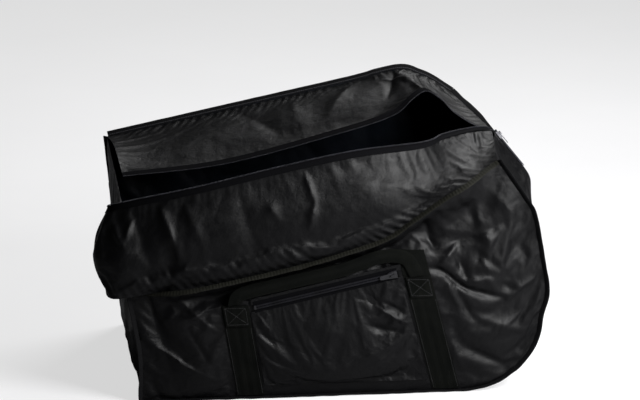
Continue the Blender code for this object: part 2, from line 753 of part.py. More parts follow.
def handle_band(points, ends_across, normal):
    """Flat webbing band along points in a plane, with its width across its run and square at its ends."""
    path = Path(points)
    centres = np.array([path.at(share) for share in shares_between(0, 1, HANDLE_STEPS)])
    across = np.cross(np.gradient(centres, axis=0), normal)
    across = across / np.linalg.norm(across, axis=1, keepdims=True)
    across[0] = ends_across
    across[-1] = -ends_across
    return np.stack([centres - across * HANDLE_WIDTH / 2, centres + across * HANDLE_WIDTH / 2], axis=1)


def add_handle(build, panel, ends, shares, rise, lean):
    """Free loop of a handle, turning where the sewn ends stop. rise is negative where it hangs."""
    layers = 1 if rise > 0 else 2
    lift = (1 + layers) * LAY_GAP + (layers + 0.5) * WEBBING + layers * SEAM_GAP
    start, end = (np.array([x, panel.face(x, z) + panel.side * lift, z]) for x, z in ends)
    along = unit(end - start)
    upright = np.array([0, 0, math.copysign(1.0, rise)])
    out = np.array([0, panel.side, 0])
    stand = unit(unit(upright - np.dot(upright, along) * along) + out * lean / abs(rise))
    normal = np.cross(along, stand)
    if np.dot(normal, out) < 0:
        normal = -normal
    span = np.linalg.norm(end - start)
    gap = stand * (LAY_GAP + abs(along[2]) * HANDLE_WIDTH / 2)
    points = [start + gap + along * span * a + stand * abs(rise) * u for a, u in shares]
    band = handle_band(points, along, normal)
    if np.dot(band[1][1] - band[1][0], along) < 0:
        band = band[:, ::-1]
    pivot = (start + end) / 2
    name = panel.name + "_handle"
    build.add(name, slab(band + normal * WEBBING / 2, WEBBING, normal), build.webbing, pivot)
    build.joints[name] = (pivot, along)


def add_handles(build):
    seams = build.seams
    front_ends = ((seams.strap_x(LEFT_STRAP_SHARES, LEFT_STRAP_TOP, LEFT_STRAP_TOP), LEFT_STRAP_TOP),
                  (seams.strap_x(RIGHT_STRAP_SHARES, RIGHT_STRAP_TOP, RIGHT_STRAP_TOP), RIGHT_STRAP_TOP))
    back_ends = ((bag_x(LEFT_STRAP_SHARES[0]), BACK_STRAP_TOP),
                 (bag_x(RIGHT_STRAP_SHARES[0]), BACK_STRAP_TOP))
    add_handle(build, front_side(seams), front_ends, FRONT_HANDLE_SHARES,
               FRONT_HANDLE_RISE, -FRONT_HANDLE_LEAN)
    add_handle(build, back_side(seams), back_ends, BACK_HANDLE_SHARES, -BACK_HANDLE_DROP, BACK_HANDLE_LEAN)


def slider_half_width():
    """Half of a slider's width at its nose."""
    return ZIP_SLIT / 2 + ZIP_COIL_WIDTH + ZIP_CLEARANCE + SLIDER_WALL + SLIDER_NOSE_SPREAD / 2


def pocket_strip(seams, low_margin, high_margin):
    """Places on the front between the straps, from one distance off the zip's line to another."""
    def place(across, up):
        left, right = seams.pocket_left(), seams.pocket_right()
        x = left + (right - left) * across
        return x, seams.zip_height(x) + low_margin + (high_margin - low_margin) * up
    return place


def add_pocket(build):
    """Pocket between the front straps, closed by a zip along its top."""
    seams = build.seams
    slot = slider_half_width() + ZIP_CLEARANCE

    def place(across, up):
        top_x = seams.pocket_left() + (seams.pocket_right() - seams.pocket_left()) * across
        top_z = seams.zip_height(top_x) - slot
        left, right = seams.pocket_left(POCKET_FOOT), seams.pocket_right(POCKET_FOOT)
        foot_x = left + (right - left) * across
        return foot_x + (top_x - foot_x) * up, POCKET_FOOT + (top_z - POCKET_FOOT) * up

    rows = stepped(POCKET_ROW_SHARES)

    def puff(across, up):
        inside = min(max((up - rows[1]) / (rows[-2] - rows[1]), 0.0), 1.0)
        full = abs(math.sin(math.pi * across) * math.sin(math.pi * inside))
        return LAY_GAP + POCKET_PUFF * full ** PUFF_SQUARENESS

    panel = front_side(seams)
    build.add("pocket_panel", panel.laid(place, 12, rows, puff, CLOTH), build.cloth)
    strip = pocket_strip(seams, slot, slot + POCKET_FACING)
    facing = panel.laid(strip, 10, shares_between(0, 1, 1), lambda across, up: LAY_GAP, CLOTH)
    build.add("pocket_top_facing", facing, build.cloth)


class ZipFrame:
    """Axes of a straight zip: along it, across it, and out of its face."""

    def __init__(self, origin, along, normal):
        self.origin = np.array(origin, dtype=float)
        self.along = unit(np.array(along, dtype=float))
        normal = np.array(normal, dtype=float)
        self.normal = unit(normal - np.dot(normal, self.along) * self.along)
        self.across = np.cross(self.normal, self.along)

    def at(self, along, across, out):
        return self.origin + self.along * along + self.across * across + self.normal * out

    def plate(self, outline, low, high):
        """Solid from an outline of (along, across) places between two heights."""
        return prism([self.at(a, w, low) for a, w in outline], self.normal * (high - low))

    def bar(self, along, across, out):
        (a0, a1), (w0, w1) = along, across
        return self.plate(((a0, w0), (a1, w0), (a1, w1), (a0, w1)), *out)


def coil_top():
    return ZIP_TAPE + SEAM_GAP + ZIP_COIL_HEIGHT


def add_zip(build, prefix, sides, frame, length, tape_width, metal):
    """Closed zip: two tapes, two coils, its end stop, the slider and its pull. sides names the two halves."""
    inner = ZIP_SLIT / 2
    coil_low = ZIP_TAPE + SEAM_GAP
    coil_end = length - ZIP_STOP_LENGTH - SEAM_GAP
    for side, sign in zip(sides, (1, -1)):
        edges = (sign * inner, sign * (inner + tape_width))
        build.add(prefix + "_" + side + "_tape", frame.bar((0, length), edges, (0, ZIP_TAPE)), build.tape)
        edges = (sign * inner, sign * (inner + ZIP_COIL_WIDTH))
        chain = frame.bar((0, coil_end), edges, (coil_low, coil_top()))
        build.add(prefix + "_" + side + "_coil", chain, build.coil)
    reach = inner + ZIP_COIL_WIDTH
    stop = frame.bar((length - ZIP_STOP_LENGTH, length), (-reach, reach), (coil_low, coil_top()))
    build.add(prefix + "_end_stop", stop, metal)
    add_slider(build, prefix, frame, metal)


def add_slider(build, prefix, frame, metal):
    """Slider: two plates joined by a post that runs in the slit, flanges beside the coils, and a bridge."""
    channel = ZIP_SLIT / 2 + ZIP_COIL_WIDTH + ZIP_CLEARANCE
    tail, nose = channel + SLIDER_WALL, slider_half_width()
    start, end = ZIP_CLEARANCE, ZIP_CLEARANCE + SLIDER_LENGTH
    outline = ((start, -nose), (end, -tail), (end, tail), (start, nose))
    low = -ZIP_CLEARANCE - SLIDER_WALL
    top = coil_top() + ZIP_CLEARANCE
    name = prefix + "_slider"
    pivot_along = start + SLIDER_LENGTH / 2
    pivot_out = top + SLIDER_WALL + BRIDGE_ROOM / 2
    pivot = frame.at(pivot_along, 0, pivot_out)
    body = build.add(name, frame.plate(outline, top, top + SLIDER_WALL), metal, pivot)
    build.cut(body, frame.plate(outline, low, -ZIP_CLEARANCE), "UNION")
    run = (start + SLIDER_WALL, start + SLIDER_WALL + SLIDER_POST_LENGTH)
    post = frame.bar(run, (-SLIDER_POST / 2, SLIDER_POST / 2), (low + OVERRUN, top + OVERRUN))
    build.cut(body, post, "UNION")
    for sign in (-1, 1):
        flange = ((start, sign * (nose - SLIDER_WALL)), (end, sign * channel), (end, sign * tail),
                  (start, sign * nose))
        build.cut(body, frame.plate(flange, ZIP_TAPE + ZIP_CLEARANCE, top + OVERRUN), "UNION")
    reach = PULL_BAR / 2 + BRIDGE_ROOM / 2
    half = BRIDGE_WIDTH / 2
    roof = top + SLIDER_WALL + BRIDGE_ROOM
    for near in (pivot_along - reach - BRIDGE_POST, pivot_along + reach):
        foot = frame.bar((near, near + BRIDGE_POST), (-half, half), (top + OVERRUN, roof + OVERRUN))
        build.cut(body, foot, "UNION")
    span = (pivot_along - reach - BRIDGE_POST, pivot_along + reach + BRIDGE_POST)
    build.cut(body, frame.bar(span, (-half, half), (roof, roof + SLIDER_WALL)), "UNION")
    add_pull(build, prefix, frame, metal, pivot_along, pivot_out)
    build.joints[name] = (pivot, frame.along)


def add_pull(build, prefix, frame, metal, pivot_along, pivot_out):
    """Pull: a tapered tab with an eye, whose bar turns under the slider's bridge."""
    near = pivot_along - PULL_BAR / 2
    far = near + PULL_LENGTH
    wide, tip = PULL_WIDTH / 2, PULL_TIP_WIDTH / 2
    corner = PULL_TIP_WIDTH / 4
    outline = ((near, -wide), (far - corner, -tip), (far, -tip + corner), (far, tip - corner),
               (far - corner, tip), (near, wide))
    name = prefix + "_pull"
    pivot = frame.at(pivot_along, 0, pivot_out)
    plate = frame.plate(outline, pivot_out - PULL / 2, pivot_out + PULL / 2)
    tab = build.add(name, plate, metal, pivot)
    eye_half = BRIDGE_WIDTH / 2 + ZIP_CLEARANCE
    eye = frame.bar((near + PULL_BAR, near + PULL_BAR + PULL_EYE), (-eye_half, eye_half),
                    (pivot_out - PULL, pivot_out + PULL))
    build.cut(tab, eye)
    build.joints[name] = (pivot, np.cross(frame.along, frame.normal))


def add_main_zip(build):
    """Closed end of the long zip, down the right gusset from where the two free edges meet."""
    seams = build.seams
    wall = right_wall(seams)
    low = 1.0 - MAIN_ZIP_LENGTH / seams.front_right.length
    middle = 0.5 + seams.zip_end[1] / BAG_DEPTH
    beside = (ZIP_TAPE_WIDTH + slider_half_width()) / 2 / BAG_DEPTH
    start = wall.at(1.0, middle)
    end = wall.at(low, middle)
    edges = wall.at(low, middle + beside) + wall.at(1.0, middle + beside)
    edges = edges - wall.at(low, middle - beside) - wall.at(1.0, middle - beside)
    frame = ZipFrame(start, end - start, np.cross(edges, start - end))
    lift = 0.0
    for a in shares_between(low, 1.0, DEPTH_STEPS):
        for u in (middle - beside, middle + beside):
            lift = max(lift, np.dot(wall.at(a, u) - start, frame.normal))
    frame.origin = start + frame.normal * (lift + SEAM_GAP) + frame.along * EDGE_ROOM
    length = MAIN_ZIP_LENGTH - EDGE_ROOM
    add_zip(build, "main_zip", ("back", "front"), frame, length, ZIP_TAPE_WIDTH, build.metal)
    half = slider_half_width() + ZIP_CLEARANCE
    slot = frame.bar((-2 * EDGE_ROOM, MAIN_ZIP_LENGTH), (-half, half), (-SLIDER_LENGTH, SLIDER_LENGTH))
    build.cut(bpy.data.objects["right_gusset"], slot)


def add_pocket_zip(build):
    """Zip along the pocket's top, lying on the pocket and on the facing above it."""
    seams = build.seams
    left, right = seams.pocket_left() + POCKET_ZIP_MARGIN, seams.pocket_right() - POCKET_ZIP_MARGIN
    level = seams.front_y - BELLY - LAY_GAP - CLOTH - SEAM_GAP
    start = np.array([left, level, seams.zip_height(left)])
    end = np.array([right, level, seams.zip_height(right)])
    frame = ZipFrame(end, start - end, (0, -1, 0))
    length = np.linalg.norm(end - start)
    add_zip(build, "pocket_zip", ("lower", "upper"), frame, length, POCKET_TAPE_WIDTH, build.painted)


def add_flaps(build):
    """Both halves of the opened top gusset."""
    seams = build.seams
    ends = [seams.free_point(*triple) for triple in LIP_END_SHARES]
    front = Flap(seams.lip, seams.front_rim, ends, (0, -1, 0), front_flap_bulge())
    add_flap(build, front, "moving", "front_flap", front.hinge)
    add_flap(build, front, "fixed", "front_shoulder", None)
    build.joints["front_flap"] = (front.hinge, -front.axis)
    back = Flap(seams.back_top, seams.back_rim, None, (0, 0, 1), back_flap_bulge())
    add_flap(build, back, "moving", "back_flap", back.hinge)
    add_flap(build, back, "fixed", "back_shoulder", None)
    build.joints["back_flap"] = (back.hinge, -back.axis)


def centre_on_base(build):
    """Moves the bag so that the middle of the ground under it is the origin."""
    bpy.context.view_layer.update()
    corners = []
    graph = bpy.context.evaluated_depsgraph_get()
    for obj in bpy.data.objects:
        if obj.type == "MESH" and not obj.hide_render:
            evaluated = obj.evaluated_get(graph)
            corners += [evaluated.matrix_world @ vertex.co for vertex in evaluated.data.vertices]
    corners = np.array(corners)
    middle = (corners.min(axis=0) + corners.max(axis=0)) / 2
    build.root.location = (-middle[0], -middle[1], -corners[:, 2].min())


def main():
    clear_scene()
    build = Builder()
    add_front_panel(build)
    add_back_panel(build)
    add_base_panel(build)
    add_right_gusset(build)
    add_left_gusset(build)
    add_bindings(build)
    add_flaps(build)
    add_straps(build)
    add_handles(build)
    add_pocket(build)
    add_pocket_zip(build)
    add_main_zip(build)
    centre_on_base(build)
    return build


if __name__ == "__main__":
    main()
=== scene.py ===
"""Soft bike travel bag standing open: cloth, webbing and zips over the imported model. Metres, +Z up."""

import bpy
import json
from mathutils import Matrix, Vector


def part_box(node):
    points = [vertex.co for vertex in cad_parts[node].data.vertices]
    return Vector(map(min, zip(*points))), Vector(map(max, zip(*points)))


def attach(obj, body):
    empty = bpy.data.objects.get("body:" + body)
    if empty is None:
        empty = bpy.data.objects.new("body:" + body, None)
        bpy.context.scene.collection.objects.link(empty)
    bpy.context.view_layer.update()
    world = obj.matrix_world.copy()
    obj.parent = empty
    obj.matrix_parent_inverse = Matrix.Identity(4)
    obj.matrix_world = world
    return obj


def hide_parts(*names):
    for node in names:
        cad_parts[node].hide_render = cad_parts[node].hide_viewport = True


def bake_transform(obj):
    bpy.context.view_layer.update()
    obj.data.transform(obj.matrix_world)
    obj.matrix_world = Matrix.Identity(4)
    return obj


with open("model.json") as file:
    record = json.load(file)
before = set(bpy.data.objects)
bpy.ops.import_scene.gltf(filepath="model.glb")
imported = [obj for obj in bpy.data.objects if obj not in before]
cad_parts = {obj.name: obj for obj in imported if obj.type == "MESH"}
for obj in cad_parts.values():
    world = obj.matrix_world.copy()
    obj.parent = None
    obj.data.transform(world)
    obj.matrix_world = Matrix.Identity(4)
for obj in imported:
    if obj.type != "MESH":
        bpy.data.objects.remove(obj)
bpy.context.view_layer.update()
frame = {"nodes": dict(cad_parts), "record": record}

import json
import logging
import math
from dataclasses import dataclass, field
from enum import Enum
from typing import Callable, Iterable, Sequence

import bpy
import numpy as np
from mathutils import Matrix, Vector, noise
from mathutils.bvhtree import BVHTree

log = logging.getLogger("travel_bag")
Grid = np.ndarray
Pair = tuple[float, float]
Triple = tuple[float, float, float]
Way = Callable[[np.ndarray, np.ndarray], np.ndarray]
Piece = bpy.types.Object
# A wave texture at scale 1 has this many bands in a metre.
WAVE_BANDS = 3.183
# The creases wander by this seed, so every run gives the same ones.
CREASE_SEED = 1


class Side(Enum):
    """The two big panels, with the way that each one faces."""

    FRONT = -1
    BACK = 1


class Curve:
    """Smooth curve through chosen points, read by its share of length."""

    def __init__(self, points: Iterable[Sequence[float]], samples: int = 160) -> None:
        """Draws the curve.

        Args:
            points: the chosen points, in order.
            samples: about how many straight runs it is drawn with.
        """
        chosen = np.array(list(points), dtype=float)
        ends = np.vstack([2 * chosen[0] - chosen[1], chosen, 2 * chosen[-1] - chosen[-2]])
        steps = max(samples // (len(chosen) - 1), 2)
        t = (np.arange(1, steps + 1) / steps)[:, None]
        drawn = [chosen[:1]]
        for before, start, end, after in zip(ends, ends[1:], ends[2:], ends[3:]):
            held = (2 * t ** 3 - 3 * t ** 2 + 1) * start + (3 * t ** 2 - 2 * t ** 3) * end
            slope_in, slope_out = (end - before) / 2, (after - start) / 2
            drawn.append(held + (t ** 3 - 2 * t ** 2 + t) * slope_in + (t ** 3 - t ** 2) * slope_out)
        self.points = np.vstack(drawn)
        runs = np.linalg.norm(np.diff(self.points, axis=0), axis=1)
        self.length = float(runs.sum())
        self.shares = np.concatenate([[0.0], np.cumsum(runs)]) / self.length

    def at(self, share: float | np.ndarray) -> np.ndarray:
        """Point or points at a share of the length."""
        return np.stack([np.interp(share, self.shares, column) for column in self.points.T], axis=-1)

    def ahead(self, shares: np.ndarray, reach: float) -> np.ndarray:
        """Unit directions along the curve, each read over a share of the length to both sides."""
        return unit(self.at(np.minimum(shares + reach, 1)) - self.at(np.maximum(shares - reach, 0)))

    def part(self, start: float, end: float) -> "Curve":
        """The stretch between two shares of the length."""
        return Curve(self.at(np.linspace(start, end, 41)))

    def crossing(self, point: np.ndarray, direction: np.ndarray) -> float:
        """Share of the length at which the curve passes the plane through a point."""
        return float(np.interp(0.0, (self.points - point) @ direction, self.shares))


def straight(start: np.ndarray, end: np.ndarray) -> Curve:
    """Straight line as a curve."""
    return Curve([start + (end - start) * step / 4 for step in range(5)])


def eased(share: float | np.ndarray) -> np.ndarray:
    """Eased step from 0 to 1."""
    held = np.clip(share, 0.0, 1.0)
    return held * held * (3.0 - 2.0 * held)


def from_ends(count: int) -> np.ndarray:
    """For each place in a row, how many steps away its nearer end is."""
    return np.minimum(np.arange(count), np.arange(count)[::-1])


def unit(vectors: np.ndarray) -> np.ndarray:
    """Vectors made one long."""
    return vectors / np.maximum(np.linalg.norm(vectors, axis=-1, keepdims=True), 1e-12)


def stretched(bottom: Curve, top: Curve, left: Curve, right: Curve, across: np.ndarray,
              up: np.ndarray) -> Grid:
    """Grid of points on the surface stretched between four edge curves.

    Args:
        bottom, top: edges read by the share across.
        left, right: edges read by the share up.
        across, up: shares at which the grid has its points.

    Returns:
        Points as an array of across by up by three.
    """
    a, u = across[:, None, None], up[None, :, None]
    ruled = (1 - u) * bottom.at(across)[:, None] + u * top.at(across)[:, None]
    ruled = ruled + (1 - a) * left.at(up)[None] + a * right.at(up)[None]
    low = (1 - a) * bottom.at(0.0) + a * bottom.at(1.0)
    high = (1 - a) * top.at(0.0) + a * top.at(1.0)
    return ruled - (1 - u) * low - u * high


def grid_normals(grid: Grid) -> Grid:
    """Unit normals of a grid of points."""
    return unit(np.cross(np.gradient(grid, axis=0), np.gradient(grid, axis=1)))


def looks_inward(grid: Grid, outside: Triple) -> bool:
    """Whether the middle of a grid faces away from the outside."""
    middle = grid_normals(grid)[grid.shape[0] // 2, grid.shape[1] // 2]
    return float(np.dot(middle, outside)) < 0


def unevenness(points: np.ndarray, fineness: float) -> np.ndarray:
    """Smooth chance value between about -1 and 1 for each point; the same point always has the same one."""
    values = [noise.noise(Vector(point) * fineness) for point in points.reshape(-1, 3)]
    return np.array(values).reshape(points.shape[:-1])


def adjust(thing: object, **settings: object) -> None:
    """Sets several properties of a thing."""
    for name, value in settings.items():
        setattr(thing, name, value)


@dataclass
class BagForm:
    """Seam and edge curves of the bag, the same as those of its solids, in the bag's own coordinates.

    A place is two shares, of the width from the left and of the height, or three, with that of the depth
    from the middle between them.
    """

    width: float = 0.848
    height: float = 0.510
    depth: float = 0.410
    foot: float = 0.0021
    corner_radius: float = 0.145
    back_bulge: float = 0.030
    side_bulge: float = 0.010
    side_fade: float = 0.110
    belly: float = 0.022
    recess: float = 0.004
    recess_share: float = 0.55
    crest_flat: float = 0.012
    lip_overhang: float = 0.036
    flap_bulge: float = 0.030
    back_flap_arch: float = 0.018
    flap_split_share: float = 0.610
    flap_reach: float = 0.12
    webbing_width: float = 0.050
    pocket_clearance: float = 0.004
    left_strap: Pair = (0.354, 0.317)
    right_strap: Pair = (0.785, 0.714)
    left_strap_top: float = 0.190
    right_strap_top: float = 0.235
    right_strap_reach: float = 0.286
    back_strap_top: float = 0.300
    pocket_zip_left: float = 0.185
    pocket_zip_rise: float = 0.060
    pocket_foot: float = 0.026
    base_right: float = 0.988
    front_left: tuple = ((0.115, 0.0), (0.116, 0.18), (0.093, 0.415))
    right_side: tuple = (
        (1.0, 0.373), (0.988, 0.502), (0.969, 0.665), (0.949, 0.726), (0.9245, 0.788), (0.889, 0.8765))
    lip: tuple = (
        (0.093, 0.415), (0.2205, 0.446), (0.441, 0.520), (0.556, 0.572), (0.644, 0.621), (0.705, 0.690),
        (0.778, 0.7745), (0.8626, 0.851), (0.889, 0.8765))
    back_left: tuple = ((0.104, 0.0), (0.084, 0.40), (0.064, 0.763))
    back_top: tuple = (
        (0.064, 0.763), (0.382, 0.874), (0.6226, 0.958), (0.683, 0.985), (0.7406, 1.0), (0.776, 0.981),
        (0.809, 0.955), (0.854, 0.902))
    back_right: tuple = ((1.0, 0.373), (0.988, 0.502), (0.969, 0.665), (0.9245, 0.788), (0.854, 0.902))
    front_rim: tuple = (
        (0.048, -0.36, 0.690), (0.067, -0.48, 0.733), (0.2335, -0.565, 0.806), (0.4245, -0.565, 0.8765),
        (0.579, -0.54, 0.9196), (0.7265, -0.455, 0.9245), (0.785, -0.30, 0.919), (0.865, -0.13, 0.902),
        (0.907, -0.073, 0.886))
    back_rim: tuple = (
        (0.090, 0.05, 0.725), (0.32, 0.09, 0.755), (0.574, 0.145, 0.846), (0.698, 0.19, 0.900),
        (0.7465, 0.225, 0.955), (0.775, 0.245, 0.9755), (0.805, 0.21, 0.952), (0.833, 0.12, 0.915),
        (0.875, 0.0, 0.889), (0.907, -0.073, 0.886))
    lip_end: tuple = ((0.066, -0.34, 0.470), (0.043, -0.44, 0.428), (0.057, -0.575, 0.416))
    wall_end: Triple = (0.082, -0.22, 0.690)

    def __post_init__(self) -> None:
        """Draws the seam curves, and finds where the bag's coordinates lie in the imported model."""
        front_y, back_y = -self.depth / 2, self.depth / 2
        self.front_left_seam = Curve([self.place(a, -0.5, u) for a, u in self.front_left])
        self.front_foot, self.front_right_seam = self.foot_and_side(
            self.front_left[0][0], self.right_side, front_y)
        self.lip_line = Curve([self.place(a, -0.5, u) for a, u in self.lip])
        self.lip_seam = Curve([self.on_lip(point) for point in self.lip_line.points[::4]])
        self.back_left_seam = Curve([self.place(a, 0.5, u) for a, u in self.back_left])
        self.back_foot, self.back_right_seam = self.foot_and_side(
            self.back_left[0][0], self.back_right, back_y)
        self.back_top_seam = Curve([self.place(a, 0.5, u) for a, u in self.back_top])
        self.front_rim_edge = Curve([self.place(*triple) for triple in self.front_rim])
        self.back_rim_edge = Curve([self.place(*triple) for triple in self.back_rim])
        self.shift = self.found_shift()

    def found_shift(self) -> np.ndarray:
        """Where the bag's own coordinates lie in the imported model, read from the webbing under its base.

        Returns:
            The way from the bag's coordinates to the model's.
        """
        low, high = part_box("left_base_strap")
        middle = (np.array(low) + np.array(high)) / 2
        return np.array([middle[0] - self.bag_x(self.left_strap[0]), middle[1], float(low[2])])

    def bag_x(self, share: float) -> float:
        """Place across the bag for a share of its width."""
        return (share - 0.5) * self.width

    def place(self, across: float, deep: float, up: float) -> np.ndarray:
        """Point from shares of the width, the depth and the height."""
        return np.array([self.bag_x(across), deep * self.depth, self.foot + up * (self.height - self.foot)])

    def foot_and_side(self, start: float, side: tuple, y: float) -> tuple[Curve, Curve]:
        """A panel's lower edge and its right side, which meet halfway round the rounded corner.

        Args:
            start: share of the width at which the lower edge begins.
            side: places up the right side, as shares.
            y: the panel's place in depth.

        Returns:
            The lower edge and the right side.
        """
        radius = self.corner_radius
        centre_x, centre_z = self.bag_x(self.base_right) - radius, self.foot + radius
        line = [(x, self.foot) for x in np.linspace(self.bag_x(start), centre_x, 14)]
        arc = [(centre_x + radius * math.cos(turn), centre_z + radius * math.sin(turn))
               for turn in map(math.radians, range(-75, 1, 15))]
        upward = [tuple(self.place(a, 0.0, u)[[0, 2]]) for a, u in side]
        foot = Curve([(x, y, z) for x, z in line + arc[:3]])
        return foot, Curve([(x, y, z) for x, z in arc[2:] + upward])

    def side_weight(self, x: np.ndarray, z: np.ndarray) -> np.ndarray:
        """1 across the middle of the front, easing to 0 at its side seams."""
        left, right = (np.interp(z, seam.points[:, 2], seam.points[:, 0])
                       for seam in (self.front_left_seam, self.front_right_seam))
        return eased((x - left) / self.side_fade) * eased((right - x) / self.side_fade)

    def on_lip(self, point: np.ndarray) -> np.ndarray:
        """The same place on the lip, which hangs out beyond the side seams."""
        return point - np.array([0, self.lip_overhang * float(self.side_weight(point[0], point[2])), 0])

    def hinge(self, seam: Curve) -> float:
        """Share of a top seam's length at which its flap's folding length meets the shoulder."""
        return float(np.interp(self.bag_x(self.flap_split_share), seam.points[:, 0], seam.shares))

    def strap_x(self, shares: Pair, top: float, z: np.ndarray) -> np.ndarray:
        """Middle of a front strap at a height."""
        return self.bag_x(shares[0] + (shares[1] - shares[0]) * z / top)

    def left_strap_x(self, z: np.ndarray) -> np.ndarray:
        """Middle of the left front strap at a height."""
        return self.strap_x(self.left_strap, self.left_strap_top, z)

    def right_strap_x(self, z: np.ndarray) -> np.ndarray:
        """Middle of the right front strap at a height."""
        return self.strap_x(self.right_strap, self.right_strap_top, z)

    def pocket_sides(self, left_height: float, right_height: float) -> Pair:
        """Left and right side of the pocket, each at its own height, beside the straps."""
        beside = self.webbing_width / 2
        return (self.left_strap_x(left_height) + beside + self.pocket_clearance,
                self.right_strap_x(right_height) - beside - self.pocket_clearance)

    def pocket_top(self) -> Pair:
        """Where the pocket's zip begins and ends."""
        return self.pocket_sides(self.pocket_zip_left, self.pocket_zip_left + self.pocket_zip_rise)

    def zip_height(self, x: np.ndarray) -> np.ndarray:
        """Height of the pocket zip's line, carried on to both sides."""
        left, right = self.pocket_top()
        return self.pocket_zip_left + self.pocket_zip_rise / (right - left) * (x - left)

    def front_face(self, x: np.ndarray, z: np.ndarray) -> np.ndarray:
        """How far forward the outside of the front panel stands at a place on it.

        Args:
            x, z: places across and up.

        Returns:
            Y at each place.
        """
        crest = self.zip_height(x)
        lip = np.interp(x, self.lip_line.points[:, 0], self.lip_line.points[:, 2])
        lip = np.maximum(lip, crest + self.belly)
        below = self.belly * np.sin(math.pi / 2 * np.clip((z - self.foot) / (crest - self.foot), 0, 1))
        share = np.maximum(z - crest - self.crest_flat, 0.0) / (lip - crest - self.crest_flat)
        inward = self.belly + (self.recess - self.belly) * eased(share / self.recess_share)
        outward = (share - self.recess_share) / (1 - self.recess_share)
        outward = self.recess + (self.lip_overhang - self.recess) * eased(outward)
        above = np.where(share < self.recess_share, inward, outward)
        return -self.depth / 2 - np.where(z <= crest, below, above) * self.side_weight(x, z)

    def back_face(self, x: np.ndarray, z: np.ndarray) -> np.ndarray:
        """How far back the outside of the back panel stands at a place on it.

        Args:
            x, z: places across and up.

        Returns:
            Y at each place.
        """
        left, right = (np.interp(z, seam.points[:, 2], seam.points[:, 0])
                       for seam in (self.back_left_seam, self.back_right_seam))
        top = np.interp(x, self.back_top_seam.points[:, 0], self.back_top_seam.points[:, 2])
        across = np.clip((x - left) / (right - left), 0.0, 1.0)
        up = np.clip((z - self.foot) / (top - self.foot), 0.0, 1.0)
        return self.depth / 2 + self.back_bulge * np.sin(math.pi * across) * np.sin(math.pi * up)

    def face(self, side: Side) -> Way:
        """The face of the front or the back panel."""
        return self.front_face if side is Side.FRONT else self.back_face


def linear(hex_colour: str) -> tuple[float, float, float, float]:
    """Linear colour from an sRGB hex value."""
    parts = [int(hex_colour[i:i + 2], 16) / 255 for i in (1, 3, 5)]
    return (*[c / 12.92 if c <= 0.04045 else ((c + 0.055) / 1.055) ** 2.4 for c in parts], 1.0)


class NodeBench:
    """Puts nodes into a material or a world."""

    def __init__(self, owner: bpy.types.Material | bpy.types.World, shader: str) -> None:
        """Turns the owner's nodes on and finds its shader.

        Args:
            owner: the material or the world.
            shader: the name of its shader.
        """
        owner.use_nodes = True
        self.owner = owner
        self.tree = owner.node_tree
        self.shader = self.tree.nodes[shader]

    def feed(self, node: bpy.types.Node, links: dict) -> None:
        """Links outputs to a node's sockets, or sets them to plain values."""
        for socket, value in links.items():
            if isinstance(value, bpy.types.NodeSocket):
                self.tree.links.new(value, node.inputs[socket])
            else:
                node.inputs[socket].default_value = value

    def add(self, kind: str, links: dict | None = None, **settings: object) -> bpy.types.Node:
        """Adds a node.

        Args:
            kind: the node's type.
            links: socket name or number to an output socket or to a plain value.
            settings: the node's own properties.

        Returns:
            The new node.
        """
        node = self.tree.nodes.new(kind)
        adjust(node, **settings)
        self.feed(node, links or {})
        return node


@dataclass(frozen=True)
class Finish:
    """Common sizes of a finish."""

    name: str
    dark: str
    light: str
    rough: float = 0.6
    specular: float = 0.5

    def common(self) -> NodeBench:
        """Material with this finish's constant sockets set.

        Returns:
            The material's bench.
        """
        bench = NodeBench(bpy.data.materials.new(self.name), "Principled BSDF")
        bench.feed(bench.shader, {"Roughness": self.rough, "Specular IOR Level": self.specular})
        return bench

    def toned(self, bench: NodeBench, share: bpy.types.NodeSocket) -> bpy.types.NodeSocket:
        """Colour between the dark and the light tone, by a share."""
        tone = bench.add("ShaderNodeMix", {"Factor": share, "A": linear(self.dark), "B": linear(self.light)},
                         data_type="RGBA")
        return tone.outputs["Result"]

    def mottled(self, bench: NodeBench, scale: float, low: float, high: float) -> None:
        """Colour that drifts between the dark and the light tone.

        Args:
            bench: the material's bench.
            scale: drifts in a metre, so that 9 is one in about 110 mm.
            low, high: noise values where the tones begin and end.
        """
        place = bench.add("ShaderNodeTexCoord").outputs["Object"]
        drift = bench.add("ShaderNodeTexNoise", {"Vector": place, "Scale": scale, "Detail": 4.0})
        share = bench.add("ShaderNodeMapRange", {"Value": drift.outputs["Fac"], "From Min": low,
                                                 "From Max": high})
        bench.feed(bench.shader, {"Base Color": self.toned(bench, share.outputs["Result"])})


